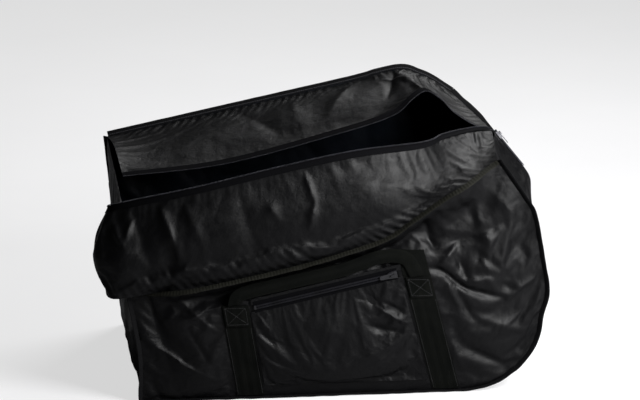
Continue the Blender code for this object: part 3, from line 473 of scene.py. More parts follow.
@dataclass(frozen=True)
class CoatedPolyester(Finish):
    """Woven polyester with a thin coating: a dark plain weave with a broad soft sheen along its creases."""

    thread: float = 0.0011

    def made(self) -> bpy.types.Material:
        """Weave of crossed threads. The real ones are 0.4 mm apart, and are drawn coarser to show at all.

        Returns:
            The material.
        """
        bench = self.common()
        self.mottled(bench, scale=9.0, low=0.35, high=0.7)
        place = bench.add("ShaderNodeUVMap", uv_map="metres").outputs["UV"]
        waves = [bench.add("ShaderNodeTexWave", {"Vector": place, "Scale": 1 / self.thread / WAVE_BANDS,
                                                 "Distortion": 0.6, "Detail": 1.0, "Detail Scale": 2.0},
                           bands_direction=direction).outputs["Fac"] for direction in ("X", "Y")]
        weave = bench.add("ShaderNodeMath", {0: waves[0], 1: waves[1]}, operation="MULTIPLY").outputs[0]
        crumple = bench.add("ShaderNodeTexNoise", {"Vector": place, "Scale": 55.0, "Detail": 5.0,
                                                   "Roughness": 0.6}).outputs["Fac"]
        soft = bench.add("ShaderNodeBump", {"Strength": 0.35, "Distance": 0.004, "Height": crumple})
        bump = bench.add("ShaderNodeBump", {"Strength": 0.25, "Distance": 0.0004, "Height": weave,
                                            "Normal": soft.outputs["Normal"]})
        wear = bench.add("ShaderNodeMapRange", {"Value": crumple, "From Min": 0.3, "From Max": 0.7,
                                                "To Min": self.rough - 0.07, "To Max": self.rough + 0.09})
        bench.feed(bench.shader, {"Normal": bump.outputs["Normal"], "Roughness": wear.outputs["Result"]})
        return bench.owner


@dataclass(frozen=True)
class RibbedWebbing(Finish):
    """Woven webbing: matte, with a herringbone of fine ribs along its run."""

    rib: float = 0.0024
    chevron: float = 0.008

    def made(self) -> bpy.types.Material:
        """Ribs slanting both ways from the middle, read from the piece's own metres.

        Returns:
            The material.
        """
        bench = self.common()
        self.mottled(bench, scale=30.0, low=0.3, high=0.75)
        place = bench.add("ShaderNodeUVMap", uv_map="metres").outputs["UV"]
        ways = bench.add("ShaderNodeSeparateXYZ", {0: place}).outputs
        off = bench.add("ShaderNodeMath", {0: ways[0], 1: self.chevron}, operation="PINGPONG").outputs[0]
        slant = bench.add("ShaderNodeMath", {0: ways[1], 1: off}, operation="ADD").outputs[0]
        turns = bench.add("ShaderNodeMath", {0: slant, 1: math.tau / self.rib},
                          operation="MULTIPLY").outputs[0]
        rib = bench.add("ShaderNodeMath", {0: turns}, operation="SINE").outputs[0]
        bump = bench.add("ShaderNodeBump", {"Strength": 0.5, "Distance": 0.0007, "Height": rib})
        bench.feed(bench.shader, {"Normal": bump.outputs["Normal"]})
        return bench.owner


@dataclass(frozen=True)
class StitchedTape(Finish):
    """Folded twill tape: matte, with a fine grain and a row of lockstitches along it."""

    stitch: float = 0.0042
    stitch_share: float = 0.68
    seam_line: float = 0.0035
    seam_width: float = 0.0006
    thread: str = "#323235"

    def made(self) -> bpy.types.Material:
        """Dashes of thread along the tape, and the twill's grain.

        Returns:
            The material.
        """
        bench = self.common()
        place = bench.add("ShaderNodeUVMap", uv_map="metres").outputs["UV"]
        ways = bench.add("ShaderNodeSeparateXYZ", {0: place}).outputs
        step = bench.add("ShaderNodeMath", {0: ways[1], 1: self.stitch},
                         operation="FLOORED_MODULO").outputs[0]
        dash = bench.add("ShaderNodeMath", {0: step, 1: self.stitch * self.stitch_share},
                         operation="LESS_THAN").outputs[0]
        off = bench.add("ShaderNodeMath", {0: ways[0], 1: self.seam_line, 2: self.seam_width},
                        operation="COMPARE").outputs[0]
        sewn = bench.add("ShaderNodeMath", {0: dash, 1: off}, operation="MULTIPLY").outputs[0]
        grain = bench.add("ShaderNodeTexNoise", {"Vector": place, "Scale": 260.0,
                                                 "Detail": 3.0}).outputs["Fac"]
        tone = bench.add("ShaderNodeMix", {"Factor": sewn, "A": self.toned(bench, grain),
                                           "B": linear(self.thread)}, data_type="RGBA")
        raised = bench.add("ShaderNodeMath", {0: sewn, 1: grain}, operation="ADD").outputs[0]
        bump = bench.add("ShaderNodeBump", {"Strength": 0.5, "Distance": 0.0006, "Height": raised})
        bench.feed(bench.shader, {"Base Color": tone.outputs["Result"], "Normal": bump.outputs["Normal"]})
        return bench.owner


@dataclass(frozen=True)
class Nylon(Finish):
    """Drawn nylon, as a zip's coil or as sewing thread: smooth black with a satin glint on each turn."""

    def made(self) -> bpy.types.Material:
        """Smooth nylon with a slight drift of tone.

        Returns:
            The material.
        """
        bench = self.common()
        self.mottled(bench, scale=60.0, low=0.3, high=0.7)
        return bench.owner


@dataclass(frozen=True)
class ZipMetal(Finish):
    """Die-cast zinc, nickel-plated or lacquered black: rounded by tumbling, with fine rub marks."""

    metallic: float = 1.0

    def made(self) -> bpy.types.Material:
        """Coat whose roughness drifts with wear.

        Returns:
            The material.
        """
        bench = self.common()
        self.mottled(bench, scale=90.0, low=0.35, high=0.65)
        place = bench.add("ShaderNodeTexCoord").outputs["Object"]
        rub = bench.add("ShaderNodeTexNoise", {"Vector": place, "Scale": 700.0, "Detail": 3.0})
        wear = bench.add("ShaderNodeMapRange", {"Value": rub.outputs["Fac"], "To Min": self.rough - 0.1,
                                                "To Max": self.rough + 0.15})
        bench.feed(bench.shader, {"Metallic": self.metallic, "Roughness": wear.outputs["Result"]})
        return bench.owner


@dataclass(frozen=True)
class PaperSweep(Finish):
    """Pale paper sweep: matte, white to the camera where no shadow falls."""

    glow: float = 0.65

    def made(self) -> bpy.types.Material:
        """Matte pale floor, lifted a little for the camera only.

        Returns:
            The material.
        """
        bench = self.common()
        self.mottled(bench, scale=3.0, low=0.2, high=0.8)
        seen = bench.add("ShaderNodeLightPath").outputs["Is Camera Ray"]
        lift = bench.add("ShaderNodeMath", {0: seen, 1: self.glow}, operation="MULTIPLY").outputs[0]
        bench.feed(bench.shader, {"Emission Color": (1.0, 1.0, 1.0, 1.0), "Emission Strength": lift})
        return bench.owner


class Workshop:
    """Keeps the finishes and the form, and makes meshes from grids."""

    def __init__(self, form: BagForm) -> None:
        """Makes the finishes once.

        Args:
            form: the bag's form.
        """
        self.form = form
        # Coated polyester is near black, and its coating spreads a broad sheen along the creases.
        self.cloth = CoatedPolyester("coated_polyester", "#040405", "#070708", 0.44, 0.16).made()
        # The coating's inner face is duller and a little blue, so that the mouth of the bag looks deep.
        self.lining = CoatedPolyester("coated_lining", "#040609", "#080b10", 0.52, 0.05).made()
        # Polyester webbing takes the light evenly, a shade greener than the cloth.
        self.webbing = RibbedWebbing("ribbed_webbing", "#060706", "#0b0c0a", 0.78, 0.04).made()
        # Twill tape is matte black. The lip's copy is painted lighter and olive, with lighter thread, a
        # painted highlight where the standing lip catches the light.
        self.binding = StitchedTape("binding_tape", "#060607", "#0f0f10", 0.78, 0.05).made()
        self.lip_binding_painted_highlight = StitchedTape("lip_binding_tape", "#0d0d0b", "#1a1a15", 0.72, 0.08,
                                        thread="#3c3c36").made()
        self.tape = StitchedTape("zip_tape", "#040405", "#08080a", 0.8, 0.03, stitch=0.0030,
                                 thread="#131315").made()
        # Drawn nylon is black with a satin glint. The long zip's coil is painted grey, a painted highlight
        # along its lit edge, and the pocket's is painted near black, painted shade under the lip.
        self.coil = Nylon("nylon_coil_painted_highlight", "#1a1a1e", "#303036", 0.36, 0.25).made()
        self.pocket_coil_painted_shade = Nylon("pocket_zip_nylon_painted_shade", "#0b0b0d", "#141418", 0.42, 0.14).made()
        self.thread = Nylon("sewing_thread", "#1d1d1e", "#29292a", 0.7, 0.2).made()
        # Plated zinc shines bright and soft, and lacquered zinc is a satin black.
        self.metal = ZipMetal("nickel_plate", "#8e8e92", "#b4b4b8", 0.28).made()
        self.painted = ZipMetal("black_lacquer", "#101012", "#1b1b1e", 0.42, 0.4, metallic=0.0).made()

    @staticmethod
    def chosen(obj: Piece) -> None:
        """Selects a piece alone and makes it the active one.

        Args:
            obj: the piece.
        """
        bpy.ops.object.select_all(action="DESELECT")
        obj.select_set(True)
        bpy.context.view_layer.objects.active = obj

    def grid_object(self, name: str, grid: Grid) -> Piece:
        """Object from a grid of points, with a map in real metres.

        Args:
            name: the piece's name.
            grid: points, across by up.

        Returns:
            The new object, alone in the selection.
        """
        columns, rows = grid.shape[:2]
        bpy.ops.object.select_all(action="DESELECT")
        bpy.ops.mesh.primitive_grid_add(x_subdivisions=columns - 1, y_subdivisions=rows - 1)
        obj = bpy.context.object
        mesh = obj.data
        obj.name = mesh.name = name
        mesh.vertices.foreach_set("co", grid.transpose(1, 0, 2).ravel())
        obj.matrix_world = Matrix.Identity(4)
        layer = mesh.uv_layers[0]
        layer.name = "metres"
        index = np.zeros(len(mesh.loops), dtype=np.int64)
        mesh.loops.foreach_get("vertex_index", index)
        flat = np.stack([way.T.ravel() for way in self.metres(grid)], axis=1)
        layer.data.foreach_set("uv", flat[index].ravel())
        mesh.update()
        return obj

    @staticmethod
    def metres(grid: Grid) -> list[np.ndarray]:
        """Real distances along both ways of a grid, for its map.

        Args:
            grid: points, across by up.

        Returns:
            The distances across and those up, at each point.
        """
        across = np.linalg.norm(np.diff(grid, axis=0), axis=2).mean(axis=1)
        up = np.linalg.norm(np.diff(grid, axis=1), axis=2).mean(axis=0)
        return np.meshgrid(*(np.concatenate([[0.0], np.cumsum(run)]) for run in (across, up)), indexing="ij")

    @staticmethod
    def taken_apart(obj: Piece) -> tuple[np.ndarray, list[tuple[int, ...]]]:
        """Points and faces of a modelled shape that will be copied; the shape itself is deleted.

        Args:
            obj: the shape.

        Returns:
            Its points and its faces.
        """
        points = np.array([v.co for v in obj.data.vertices])
        faces = [tuple(face.vertices) for face in obj.data.polygons]
        bpy.data.objects.remove(obj)
        return points, faces

    @staticmethod
    def copies(name: str, places: np.ndarray, faces: list[tuple[int, ...]]) -> Piece:
        """One object from many copies of a shape.

        Args:
            name: the piece's name.
            places: points, copy by point by three.
            faces: the faces of the first copy.

        Returns:
            The new object.
        """
        count, step = places.shape[:2]
        every = [tuple(i + number * step for i in face) for number in range(count) for face in faces]
        mesh = bpy.data.meshes.new(name)
        mesh.from_pydata(places.reshape(-1, 3).tolist(), [], every)
        obj = bpy.data.objects.new(name, mesh)
        bpy.context.scene.collection.objects.link(obj)
        return obj

    def apply(self, obj: Piece, kind: str, **settings: object) -> None:
        """Adds a modifier and applies it.

        Args:
            obj: the piece.
            kind: the modifier's type.
            settings: its properties.
        """
        self.chosen(obj)
        step = obj.modifiers.new("step", kind)
        adjust(step, **settings)
        bpy.ops.object.modifier_apply(modifier=step.name)

    def faces_out(self, obj: Piece, closed: bool = True) -> None:
        """Turns a piece's faces outward, after its open ends are filled where it is not yet closed.

        Args:
            obj: the piece.
            closed: whether it has no open ends.
        """
        self.chosen(obj)
        bpy.ops.object.mode_set(mode="EDIT")
        if not closed:
            bpy.ops.mesh.select_all(action="DESELECT")
            bpy.ops.mesh.select_mode(type="EDGE")
            bpy.ops.mesh.select_non_manifold()
            bpy.ops.mesh.fill()
        bpy.ops.mesh.select_all(action="SELECT")
        bpy.ops.mesh.normals_make_consistent(inside=False)
        bpy.ops.object.mode_set(mode="OBJECT")

    def smoothed(self, obj: Piece, degrees: float = 50.0) -> None:
        """Smooth shading, with sharp edges kept."""
        self.chosen(obj)
        bpy.ops.object.shade_smooth_by_angle(angle=math.radians(degrees))

    @staticmethod
    def dress(obj: Piece, *finishes: bpy.types.Material) -> None:
        """Gives a piece its finishes, in place of any that it has."""
        obj.data.materials.clear()
        for finish in finishes:
            obj.data.materials.append(finish)

    def placed(self, obj: Piece, body: str, slot: str, nodes: Sequence[str] = ()) -> Piece:
        """Moves a piece into the model's frame.

        Args:
            obj: the piece.
            body: the body that it rides on, or nothing, and then it is left unattached.
            slot: its slot in the record; not used.
            nodes: the solids that it stands for.

        Returns:
            The same piece.
        """
        obj.data.transform(Matrix.Translation(Vector(self.form.shift)))
        obj.data.update()
        if nodes:
            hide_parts(*nodes)
        if body:
            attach(obj, body)
        return obj

    def bent(self, obj: Piece, seam: Curve, flap: str) -> None:
        """Bakes a piece's placement into its mesh. The hinge on its top seam is found but not used, so the
        piece does not bend into the flap.

        Args:
            obj: the piece.
            seam: the top seam that it runs along.
            flap: the flap's body; not used.
        """
        hinge = Vector(seam.at(self.form.hinge(seam)) + self.form.shift)
        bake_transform(obj)


@dataclass(frozen=True)
class Fold:
    """A crease in the cloth: a ridge or a valley between two places on a panel, in metres."""

    start: Pair
    end: Pair
    rise: float
    width: float
    sharpness: float = 1.3
    width_shares: Pair = (0.45, 0.55)
    rise_shares: Pair = (0.35, 0.65)

    def height(self, first: np.ndarray, second: np.ndarray) -> np.ndarray:
        """How far the fold lifts the cloth, narrower and lower towards both of its ends.

        Args:
            first, second: places on the panel.

        Returns:
            The lift at each place.
        """
        start, end = np.array(self.start), np.array(self.end)
        run = end - start
        along = ((first - start[0]) * run[0] + (second - start[1]) * run[1]) / float(run @ run)
        held = np.clip(along, 0.0, 1.0)
        gap = np.hypot(first - start[0] - held * run[0], second - start[1] - held * run[1])
        (narrow, wider), (low, higher) = self.width_shares, self.rise_shares
        width = self.width * (narrow + wider * np.sin(math.pi * np.clip(held, 0.02, 0.98)))
        return self.rise * np.exp(-(gap / width) ** self.sharpness) * (low + higher * np.sin(math.pi * held))


def fold_rows(*rows: tuple[float, ...]) -> tuple[Fold, ...]:
    """Folds from rows of start, end, rise and width, in metres on the panel."""
    return tuple(Fold((a, b), (c, d), rise, width) for a, b, c, d, rise, width in rows)


@dataclass(frozen=True)
class Crumple:
    """Creases all over a cloth: sharp ridges that wander, with slack hollows between them."""

    size: float = 0.075
    rise: float = 0.005
    seed: float = 0.0
    centre: Pair | None = None
    reach: float = 0.2
    least: float = 0.25
    bend: float = 0.5
    bend_scale: float = 0.8
    crest: float = 0.25
    fine: float = 0.35
    fine_scale: float = 2.3

    def height(self, points: Grid, first: np.ndarray, second: np.ndarray) -> np.ndarray:
        """How far the creases lift the cloth at each place.

        Args:
            points: the cloth's grid.
            first, second: places on the panel, for the spot where the cloth is crumpled most.

        Returns:
            The lift, as an array of the grid's shape.
        """
        lifts = []
        for point in points.reshape(-1, 3):
            place = Vector(point) / self.size + Vector((self.seed, 0.0, -self.seed))
            place += self.bend * noise.noise_vector(place * self.bend_scale)
            ridges, small = abs(noise.noise(place)), abs(noise.noise(place * self.fine_scale))
            lifts.append(self.crest - ridges - self.fine * small)
        lift = self.rise * np.array(lifts).reshape(points.shape[:2])
        if self.centre is None:
            return lift
        away = np.hypot(first - self.centre[0], second - self.centre[1]) / self.reach
        return lift * (self.least + (1 - self.least) * np.exp(-away ** 2))


@dataclass
class Cloth:
    """One sheet of the bag: its grid, its folds, how it hangs, and what it stands for.

    The pinned places are held while it hangs, and the calm ones take no creases.
    """

    shop: Workshop
    name: str
    grid: Grid
    outside: Triple
    nodes: tuple[str, ...]
    held: str
    rests_on: tuple[str, ...]
    body: str = "bag"
    plane: tuple[int, int] = (0, 2)
    folds: tuple[Fold, ...] = ()
    crumples: tuple[Crumple, ...] = (Crumple(),)
    slack: float = 0.03
    cap: float = 0.010
    steps: int = 22
    thickness: float = 0.0013
    gravity: float = 0.5
    pinned: np.ndarray | None = None
    calm: np.ndarray | None = None
    roughened: float = 0.0012
    rough_scales: Pair = (22.0, 60.0)
    edge_steps: float = 6.0

    def __post_init__(self) -> None:
        """Turns the grid, and what is known of its points, so that the faces look outward."""
        nowhere = np.zeros(self.grid.shape[:2])
        self.pinned = nowhere if self.pinned is None else self.pinned
        self.calm = nowhere if self.calm is None else self.calm
        if looks_inward(self.grid, self.outside):
            self.grid, self.pinned, self.calm = self.grid[::-1], self.pinned[::-1], self.calm[::-1]

    def folded(self) -> Grid:
        """The grid with its chosen folds and fine unevenness, which leave its edges alone.

        Returns:
            The folded grid.
        """
        grid = self.grid
        first, second = grid[..., self.plane[0]], grid[..., self.plane[1]]
        lift = np.zeros(grid.shape[:2])
        for fold in self.folds:
            lift += fold.height(first, second)
        for crumple in self.crumples:
            lift += crumple.height(grid, first, second)
        coarse, fine = (unevenness(grid, scale) for scale in self.rough_scales)
        lift += self.roughened * (coarse + 0.5 * fine)
        columns, rows = grid.shape[:2]
        inside = eased(np.minimum(from_ends(columns)[:, None], from_ends(rows)[None, :]) / self.edge_steps)
        return grid + grid_normals(grid) * (lift * (1 - self.calm) * inside)[..., None]

    def draped(self, obj: Piece, pins: np.ndarray) -> None:
        """Lets slack cloth buckle under its own weight between its seams.

        Args:
            obj: the sheet's object.
            pins: 1 where a seam holds a vertex, 0 where it is free.
        """
        rest = np.array([v.co for v in obj.data.vertices])
        group = obj.vertex_groups.new(name="seams")
        for weight in np.unique(pins):
            group.add([int(i) for i in np.nonzero(pins == weight)[0]], float(weight), "REPLACE")
        step = obj.modifiers.new("hang", "CLOTH")
        adjust(step.settings, quality=4, mass=0.2, tension_stiffness=25, compression_stiffness=25,
               shear_stiffness=12, bending_stiffness=0.35, shrink_min=-self.slack, vertex_group_mass="seams")
        step.settings.effector_weights.gravity = self.gravity
        step.collision_settings.use_collision = False
        adjust(step.point_cache, frame_start=1, frame_end=self.steps)
        scene = bpy.context.scene
        for number in range(1, self.steps + 1):
            scene.frame_set(number)
        hung = obj.evaluated_get(bpy.context.evaluated_depsgraph_get())
        moved = np.array([v.co for v in hung.data.vertices]) - rest
        obj.modifiers.remove(step)
        obj.vertex_groups.remove(group)
        scene.frame_set(1)
        far = np.linalg.norm(moved, axis=1, keepdims=True)
        held = np.where(far > 0, self.cap * np.tanh(far / self.cap) / np.maximum(far, 1e-9), 0.0)
        obj.data.vertices.foreach_set("co", (rest + moved * held).ravel())
        obj.data.update()

    def dress(self, obj: Piece) -> None:
        """Polyester outside, and its duller coating inside once the sheet has its thickness."""
        self.shop.dress(obj, self.shop.cloth, self.shop.lining)

    def build(self) -> Piece:
        """Builds the sheet, hangs it, and gives it its thickness.

        Returns:
            The finished sheet.
        """
        obj = self.shop.grid_object(self.name, self.folded())
        self.dress(obj)
        pins = np.zeros(self.grid.shape[:2])
        pins[[0, -1]] = 1.0
        pins[:, [0, -1]] = 1.0
        pins = np.maximum(pins, self.pinned)
        if self.slack > 0:
            self.draped(obj, pins.T.ravel())
        self.shop.apply(obj, "SUBSURF", levels=1, render_levels=1)
        self.shop.apply(obj, "SOLIDIFY", thickness=self.thickness, offset=-1.0, material_offset=1)
        self.shop.smoothed(obj, degrees=80.0)
        self.shop.placed(obj, self.body, "bag_cloth", self.nodes)
        return obj


@dataclass
class Shell:
    """The sewn shell: front, back, base and both gussets."""

    shop: Workshop
    front_steps: tuple[int, int] = (154, 80)
    back_steps: tuple[int, int] = (120, 70)
    base_steps: tuple[int, int] = (90, 40)
    side_steps: tuple[int, int] = (70, 64)
    under_straps: float = 0.016
    under_zip: float = 0.0004
    zip_eased_below: Pair = (0.035, 0.030)
    zip_eased_above: Pair = (0.012, 0.010)
    zip_eased_beside: Pair = (0.018, 0.022)
    front_folds: tuple[Fold, ...] = fold_rows(
        (0.1988, 0.2523, 0.2309, 0.2428, -0.010, 0.009), (0.2239, 0.2468, 0.2729, 0.2091, -0.013, 0.010),
        (0.2649, 0.2121, 0.3445, 0.1864, -0.011, 0.009), (0.2460, 0.2150, 0.2868, 0.1489, -0.009, 0.010),
        (0.2450, 0.3010, 0.3084, 0.3217, -0.009, 0.011), (0.2980, 0.3190, 0.3549, 0.3369, -0.007, 0.010),
        (0.2551, 0.2730, 0.2763, 0.2275, -0.009, 0.008), (0.2862, 0.2855, 0.3404, 0.2420, -0.008, 0.009),
        (0.3159, 0.2320, 0.3718, 0.1970, -0.008, 0.008), (0.2234, 0.2571, 0.2534, 0.2946, 0.008, 0.008),
        (0.2657, 0.2258, 0.3152, 0.2302, 0.007, 0.007), (0.3100, 0.2302, 0.3558, 0.2153, 0.006, 0.007),
        (0.1917, 0.3380, 0.2145, 0.2820, -0.012, 0.011), (0.2505, 0.3878, 0.2878, 0.3357, -0.006, 0.014),
        (0.2330, 0.2380, 0.2560, 0.1780, 0.007, 0.009), (0.2990, 0.2720, 0.3180, 0.2420, 0.007, 0.010),
        (0.3033, 0.1462, 0.3789, 0.1201, 0.006, 0.013), (0.2780, 0.0879, 0.3437, 0.0530, -0.006, 0.012),
        (0.2461, 0.1089, 0.2705, 0.0407, 0.005, 0.010), (0.3324, 0.1804, 0.4050, 0.2214, 0.006, 0.011),
        (0.3526, 0.3007, 0.3984, 0.2546, -0.006, 0.011), (0.3196, 0.3885, 0.3613, 0.3449, 0.005, 0.009),
        (0.0485, 0.2360, 0.0690, 0.2695, 0.008, 0.007), (0.0650, 0.2655, 0.0837, 0.2903, 0.008, 0.007),
        (0.0983, 0.2626, 0.1242, 0.2841, 0.006, 0.006), (0.0781, 0.2205, 0.1373, 0.2527, -0.006, 0.007),
        (-0.0500, 0.2250, 0.0250, 0.2500, -0.006, 0.012), (-0.3130, 0.2087, -0.2725, 0.0627, -0.008, 0.015),
        (-0.2562, 0.2048, -0.1888, 0.1402, 0.007, 0.012), (-0.2962, 0.1087, -0.1898, 0.0420, 0.007, 0.012),
        (-0.2400, 0.1500, -0.2050, 0.0800, -0.006, 0.010),
    )
    front_crumples: tuple[Crumple, ...] = (
        Crumple(0.085, 0.011, 2.0, (0.27, 0.24), 0.15, 0.25),
        Crumple(0.040, 0.005, 5.0, (0.25, 0.25), 0.12, 0.15),
    )
    back_folds: tuple[Fold, ...] = fold_rows(
        (-0.25, 0.33, -0.05, 0.12, -0.008, 0.022), (0.30, 0.36, 0.14, 0.16, -0.009, 0.022),
        (-0.30, 0.10, -0.16, 0.22, 0.007, 0.020), (0.34, 0.12, 0.22, 0.24, 0.008, 0.018),
        (-0.02, 0.42, 0.06, 0.30, 0.007, 0.018),
    )
    side_folds: tuple[Fold, ...] = fold_rows(
        (-0.15, 0.30, 0.05, 0.18, -0.007, 0.018), (-0.10, 0.08, 0.10, 0.16, 0.006, 0.018),
        (0.12, 0.33, 0.02, 0.24, 0.006, 0.016), (-0.16, 0.20, -0.06, 0.06, 0.006, 0.014),
        (0.15, 0.14, 0.06, 0.04, -0.005, 0.015),
    )

    @staticmethod
    def shares(steps: tuple[int, int]) -> tuple[np.ndarray, np.ndarray]:
        """Shares across and up at which a panel's grid has its points."""
        return np.linspace(0, 1, steps[0]), np.linspace(0, 1, steps[1])

    def front(self) -> Cloth:
        """Front panel, its crumples beside the right strap and its belly over the pocket zip.

        Returns:
            The panel, not yet built.
        """
        form = self.shop.form
        grid = stretched(form.front_foot, form.lip_line, form.front_left_seam, form.front_right_seam,
                         *self.shares(self.front_steps))
        x, z = grid[..., 0], grid[..., 2]
        grid[..., 1] = form.front_face(x, z)
        left = form.left_strap_x(z) - form.webbing_width / 2
        right = form.right_strap_x(z) + form.webbing_width / 2
        covered = (x > left) & (x < right) & (z < form.zip_height(x) + self.under_straps)
        covered |= (x > right - form.webbing_width) & (x < right) & (z < form.right_strap_reach)
        return Cloth(self.shop, "front_panel_cloth", grid, (0, -1, 0), ("front_panel",), "hung",
                     ("front_lip_binding", "base_panel"), folds=self.front_folds,
                     crumples=self.front_crumples, slack=0.020, cap=0.010, gravity=0.1,
                     pinned=covered.astype(float))

    def back(self) -> Cloth:
        """Back panel, held under its straps.

        Returns:
            The panel, not yet built.
        """
        form = self.shop.form
        grid = stretched(form.back_foot, form.back_top_seam, form.back_left_seam, form.back_right_seam,
                         *self.shares(self.back_steps))
        x, z = grid[..., 0], grid[..., 2]
        grid[..., 1] = form.back_face(x, z)
        covered = np.zeros(x.shape, dtype=bool)
        for strap in (form.left_strap, form.right_strap):
            covered |= (np.abs(x - form.bag_x(strap[0])) < form.webbing_width / 2) & (z < form.back_strap_top)
        return Cloth(self.shop, "back_panel_cloth", grid, (0, 1, 0), ("back_panel",), "hung",
                     ("back_top_binding", "base_panel"), folds=self.back_folds, slack=0.03, cap=0.011,
                     pinned=covered.astype(float))

    def base(self) -> Cloth:
        """Base panel, which lies on the webbing.

        Returns:
            The panel, not yet built.
        """
        form = self.shop.form
        left, right = (straight(form.front_foot.at(end), form.back_foot.at(end)) for end in (0.0, 1.0))
        grid = stretched(form.front_foot, form.back_foot, left, right, *self.shares(self.base_steps))
        return Cloth(self.shop, "base_cloth", grid, (0, 0, -1), ("base_panel",), "laid",
                     ("left_base_strap", "right_base_strap"), plane=(0, 1), slack=0.0, roughened=0.0004)

    def gusset(self, front: Curve, back: Curve, top: Curve, side: int) -> Grid:
        """Grid of a side wall that swells a little outward.

        Args:
            front, back, top: its edges.
            side: 1 for the right wall, -1 for the left one.

        Returns:
            The grid, up the wall by from front to back.
        """
        across, up = self.shares(self.side_steps)
        grid = stretched(front, back, straight(front.at(0.0), back.at(0.0)), top, across, up)
        swell = np.sin(math.pi * across)[:, None] * np.sin(math.pi * up)[None, :]
        grid[..., 0] += side * self.shop.form.side_bulge * swell
        return grid

    def right(self) -> Cloth:
        """Right gusset, from the base up to the closed end of the long zip, whose tapes hold it flat.

        Returns:
            The panel, not yet built.
        """
        form = self.shop.form
        lip, end, back = form.lip_seam.at(1.0), form.front_rim_edge.at(1.0), form.back_top_seam.at(1.0)
        top = Curve([lip, (lip + end) / 2, end, (end + back) / 2, back])
        grid = self.gusset(form.front_right_seam, form.back_right_seam, top, 1)
        low, high = (np.array(corner) - form.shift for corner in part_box("main_zip_back_tape"))
        steepness = (high[0] - low[0]) / (high[2] - low[2])
        under_tape = low[0] + (high[2] - grid[..., 2]) * steepness - self.under_zip
        distances = (grid[..., 2] - low[2], high[2] - grid[..., 2], end[1] - grid[..., 1])
        below = eased((distances[0] + self.zip_eased_below[0]) / self.zip_eased_below[1])
        above = eased((distances[1] + self.zip_eased_above[0]) / self.zip_eased_above[1])
        beside = eased((np.abs(distances[2]) - self.zip_eased_beside[0]) / self.zip_eased_beside[1])
        near = below * above * (1 - beside)
        grid[..., 0] += near * (under_tape - grid[..., 0])
        return Cloth(self.shop, "right_gusset_cloth", grid, (1, 0, 0), ("right_gusset",), "hung",
                     ("front_seam_binding", "back_seam_binding"), plane=(1, 2), folds=self.side_folds,
                     slack=0.03, cap=0.009, pinned=(near > 0.5).astype(float), calm=near)

    def left(self) -> Cloth:
        """Left gusset, whose upper front edge opens under the front flap.

        Returns:
            The panel, not yet built.
        """
        form = self.shop.form
        corner, wall_end = form.front_left_seam.at(1.0), form.place(*form.wall_end)
        front = Curve(list(form.front_left_seam.points[::8]) + list(straight(corner, wall_end).points[1::8]))
        top = straight(wall_end, form.back_left_seam.at(1.0))
        grid = self.gusset(front, form.back_left_seam, top, -1)
        return Cloth(self.shop, "left_gusset_cloth", grid, (-1, 0, 0), ("left_gusset",), "hung",
                     ("front_seam_binding", "back_seam_binding"), plane=(1, 2), folds=self.side_folds,
                     slack=0.03, cap=0.009)

    def build(self) -> list[Piece]:
        """Builds the five panels, each of which dresses itself."""
        return [panel().build() for panel in (self.front, self.back, self.base, self.right, self.left)]


@dataclass
class RimCoil:
    """A zip's coil: one turn modelled once and copied along a path. The turn is a ring 1.36 across."""

    shop: Workshop
    name: str
    path: Curve
    face: Triple
    pitch: float = 0.0023
    width: float = 0.0030
    height: float = 0.0023
    ring_share: float = 0.72
    wire_share: float = 1.6
    lean: float = 0.25

    def turn(self) -> tuple[np.ndarray, list[tuple[int, ...]]]:
        """One turn of the coil.

        Returns:
            Its points and its faces.
        """
        bpy.ops.object.select_all(action="DESELECT")
        bpy.ops.mesh.primitive_torus_add(major_segments=8, minor_segments=4, major_radius=0.5,
                                         minor_radius=0.18)
        return self.shop.taken_apart(bpy.context.object)

    def dress(self, obj: Piece) -> None:
        """Satin nylon, painted grey: a painted highlight along the lit edge."""
        self.shop.dress(obj, self.shop.coil)

    def build(self) -> Piece:
        """Copies the turn along the path, each one leaning a little forward.

        Returns:
            The coil, not yet in the model's frame.
        """
        points, faces = self.turn()
        count = int(self.path.length / self.pitch)
        shares = (np.arange(count) + 0.5) / count
        ahead = self.path.ahead(shares, reach=0.002)
        side = unit(np.cross(ahead, np.array(self.face)))
        out = unit(np.cross(side, ahead))
        tilt = unit(ahead + side * self.lean)
        places = (self.path.at(shares)[:, None, :]
                  + side[:, None, :] * points[None, :, :1] * self.width * self.ring_share
                  + out[:, None, :] * points[None, :, 1:2] * self.height * self.ring_share
                  + tilt[:, None, :] * points[None, :, 2:3] * self.pitch * self.wire_share)
        obj = self.shop.copies(self.name, places, faces)
        self.dress(obj)
        self.shop.faces_out(obj)
        bpy.ops.object.shade_smooth()
        return obj


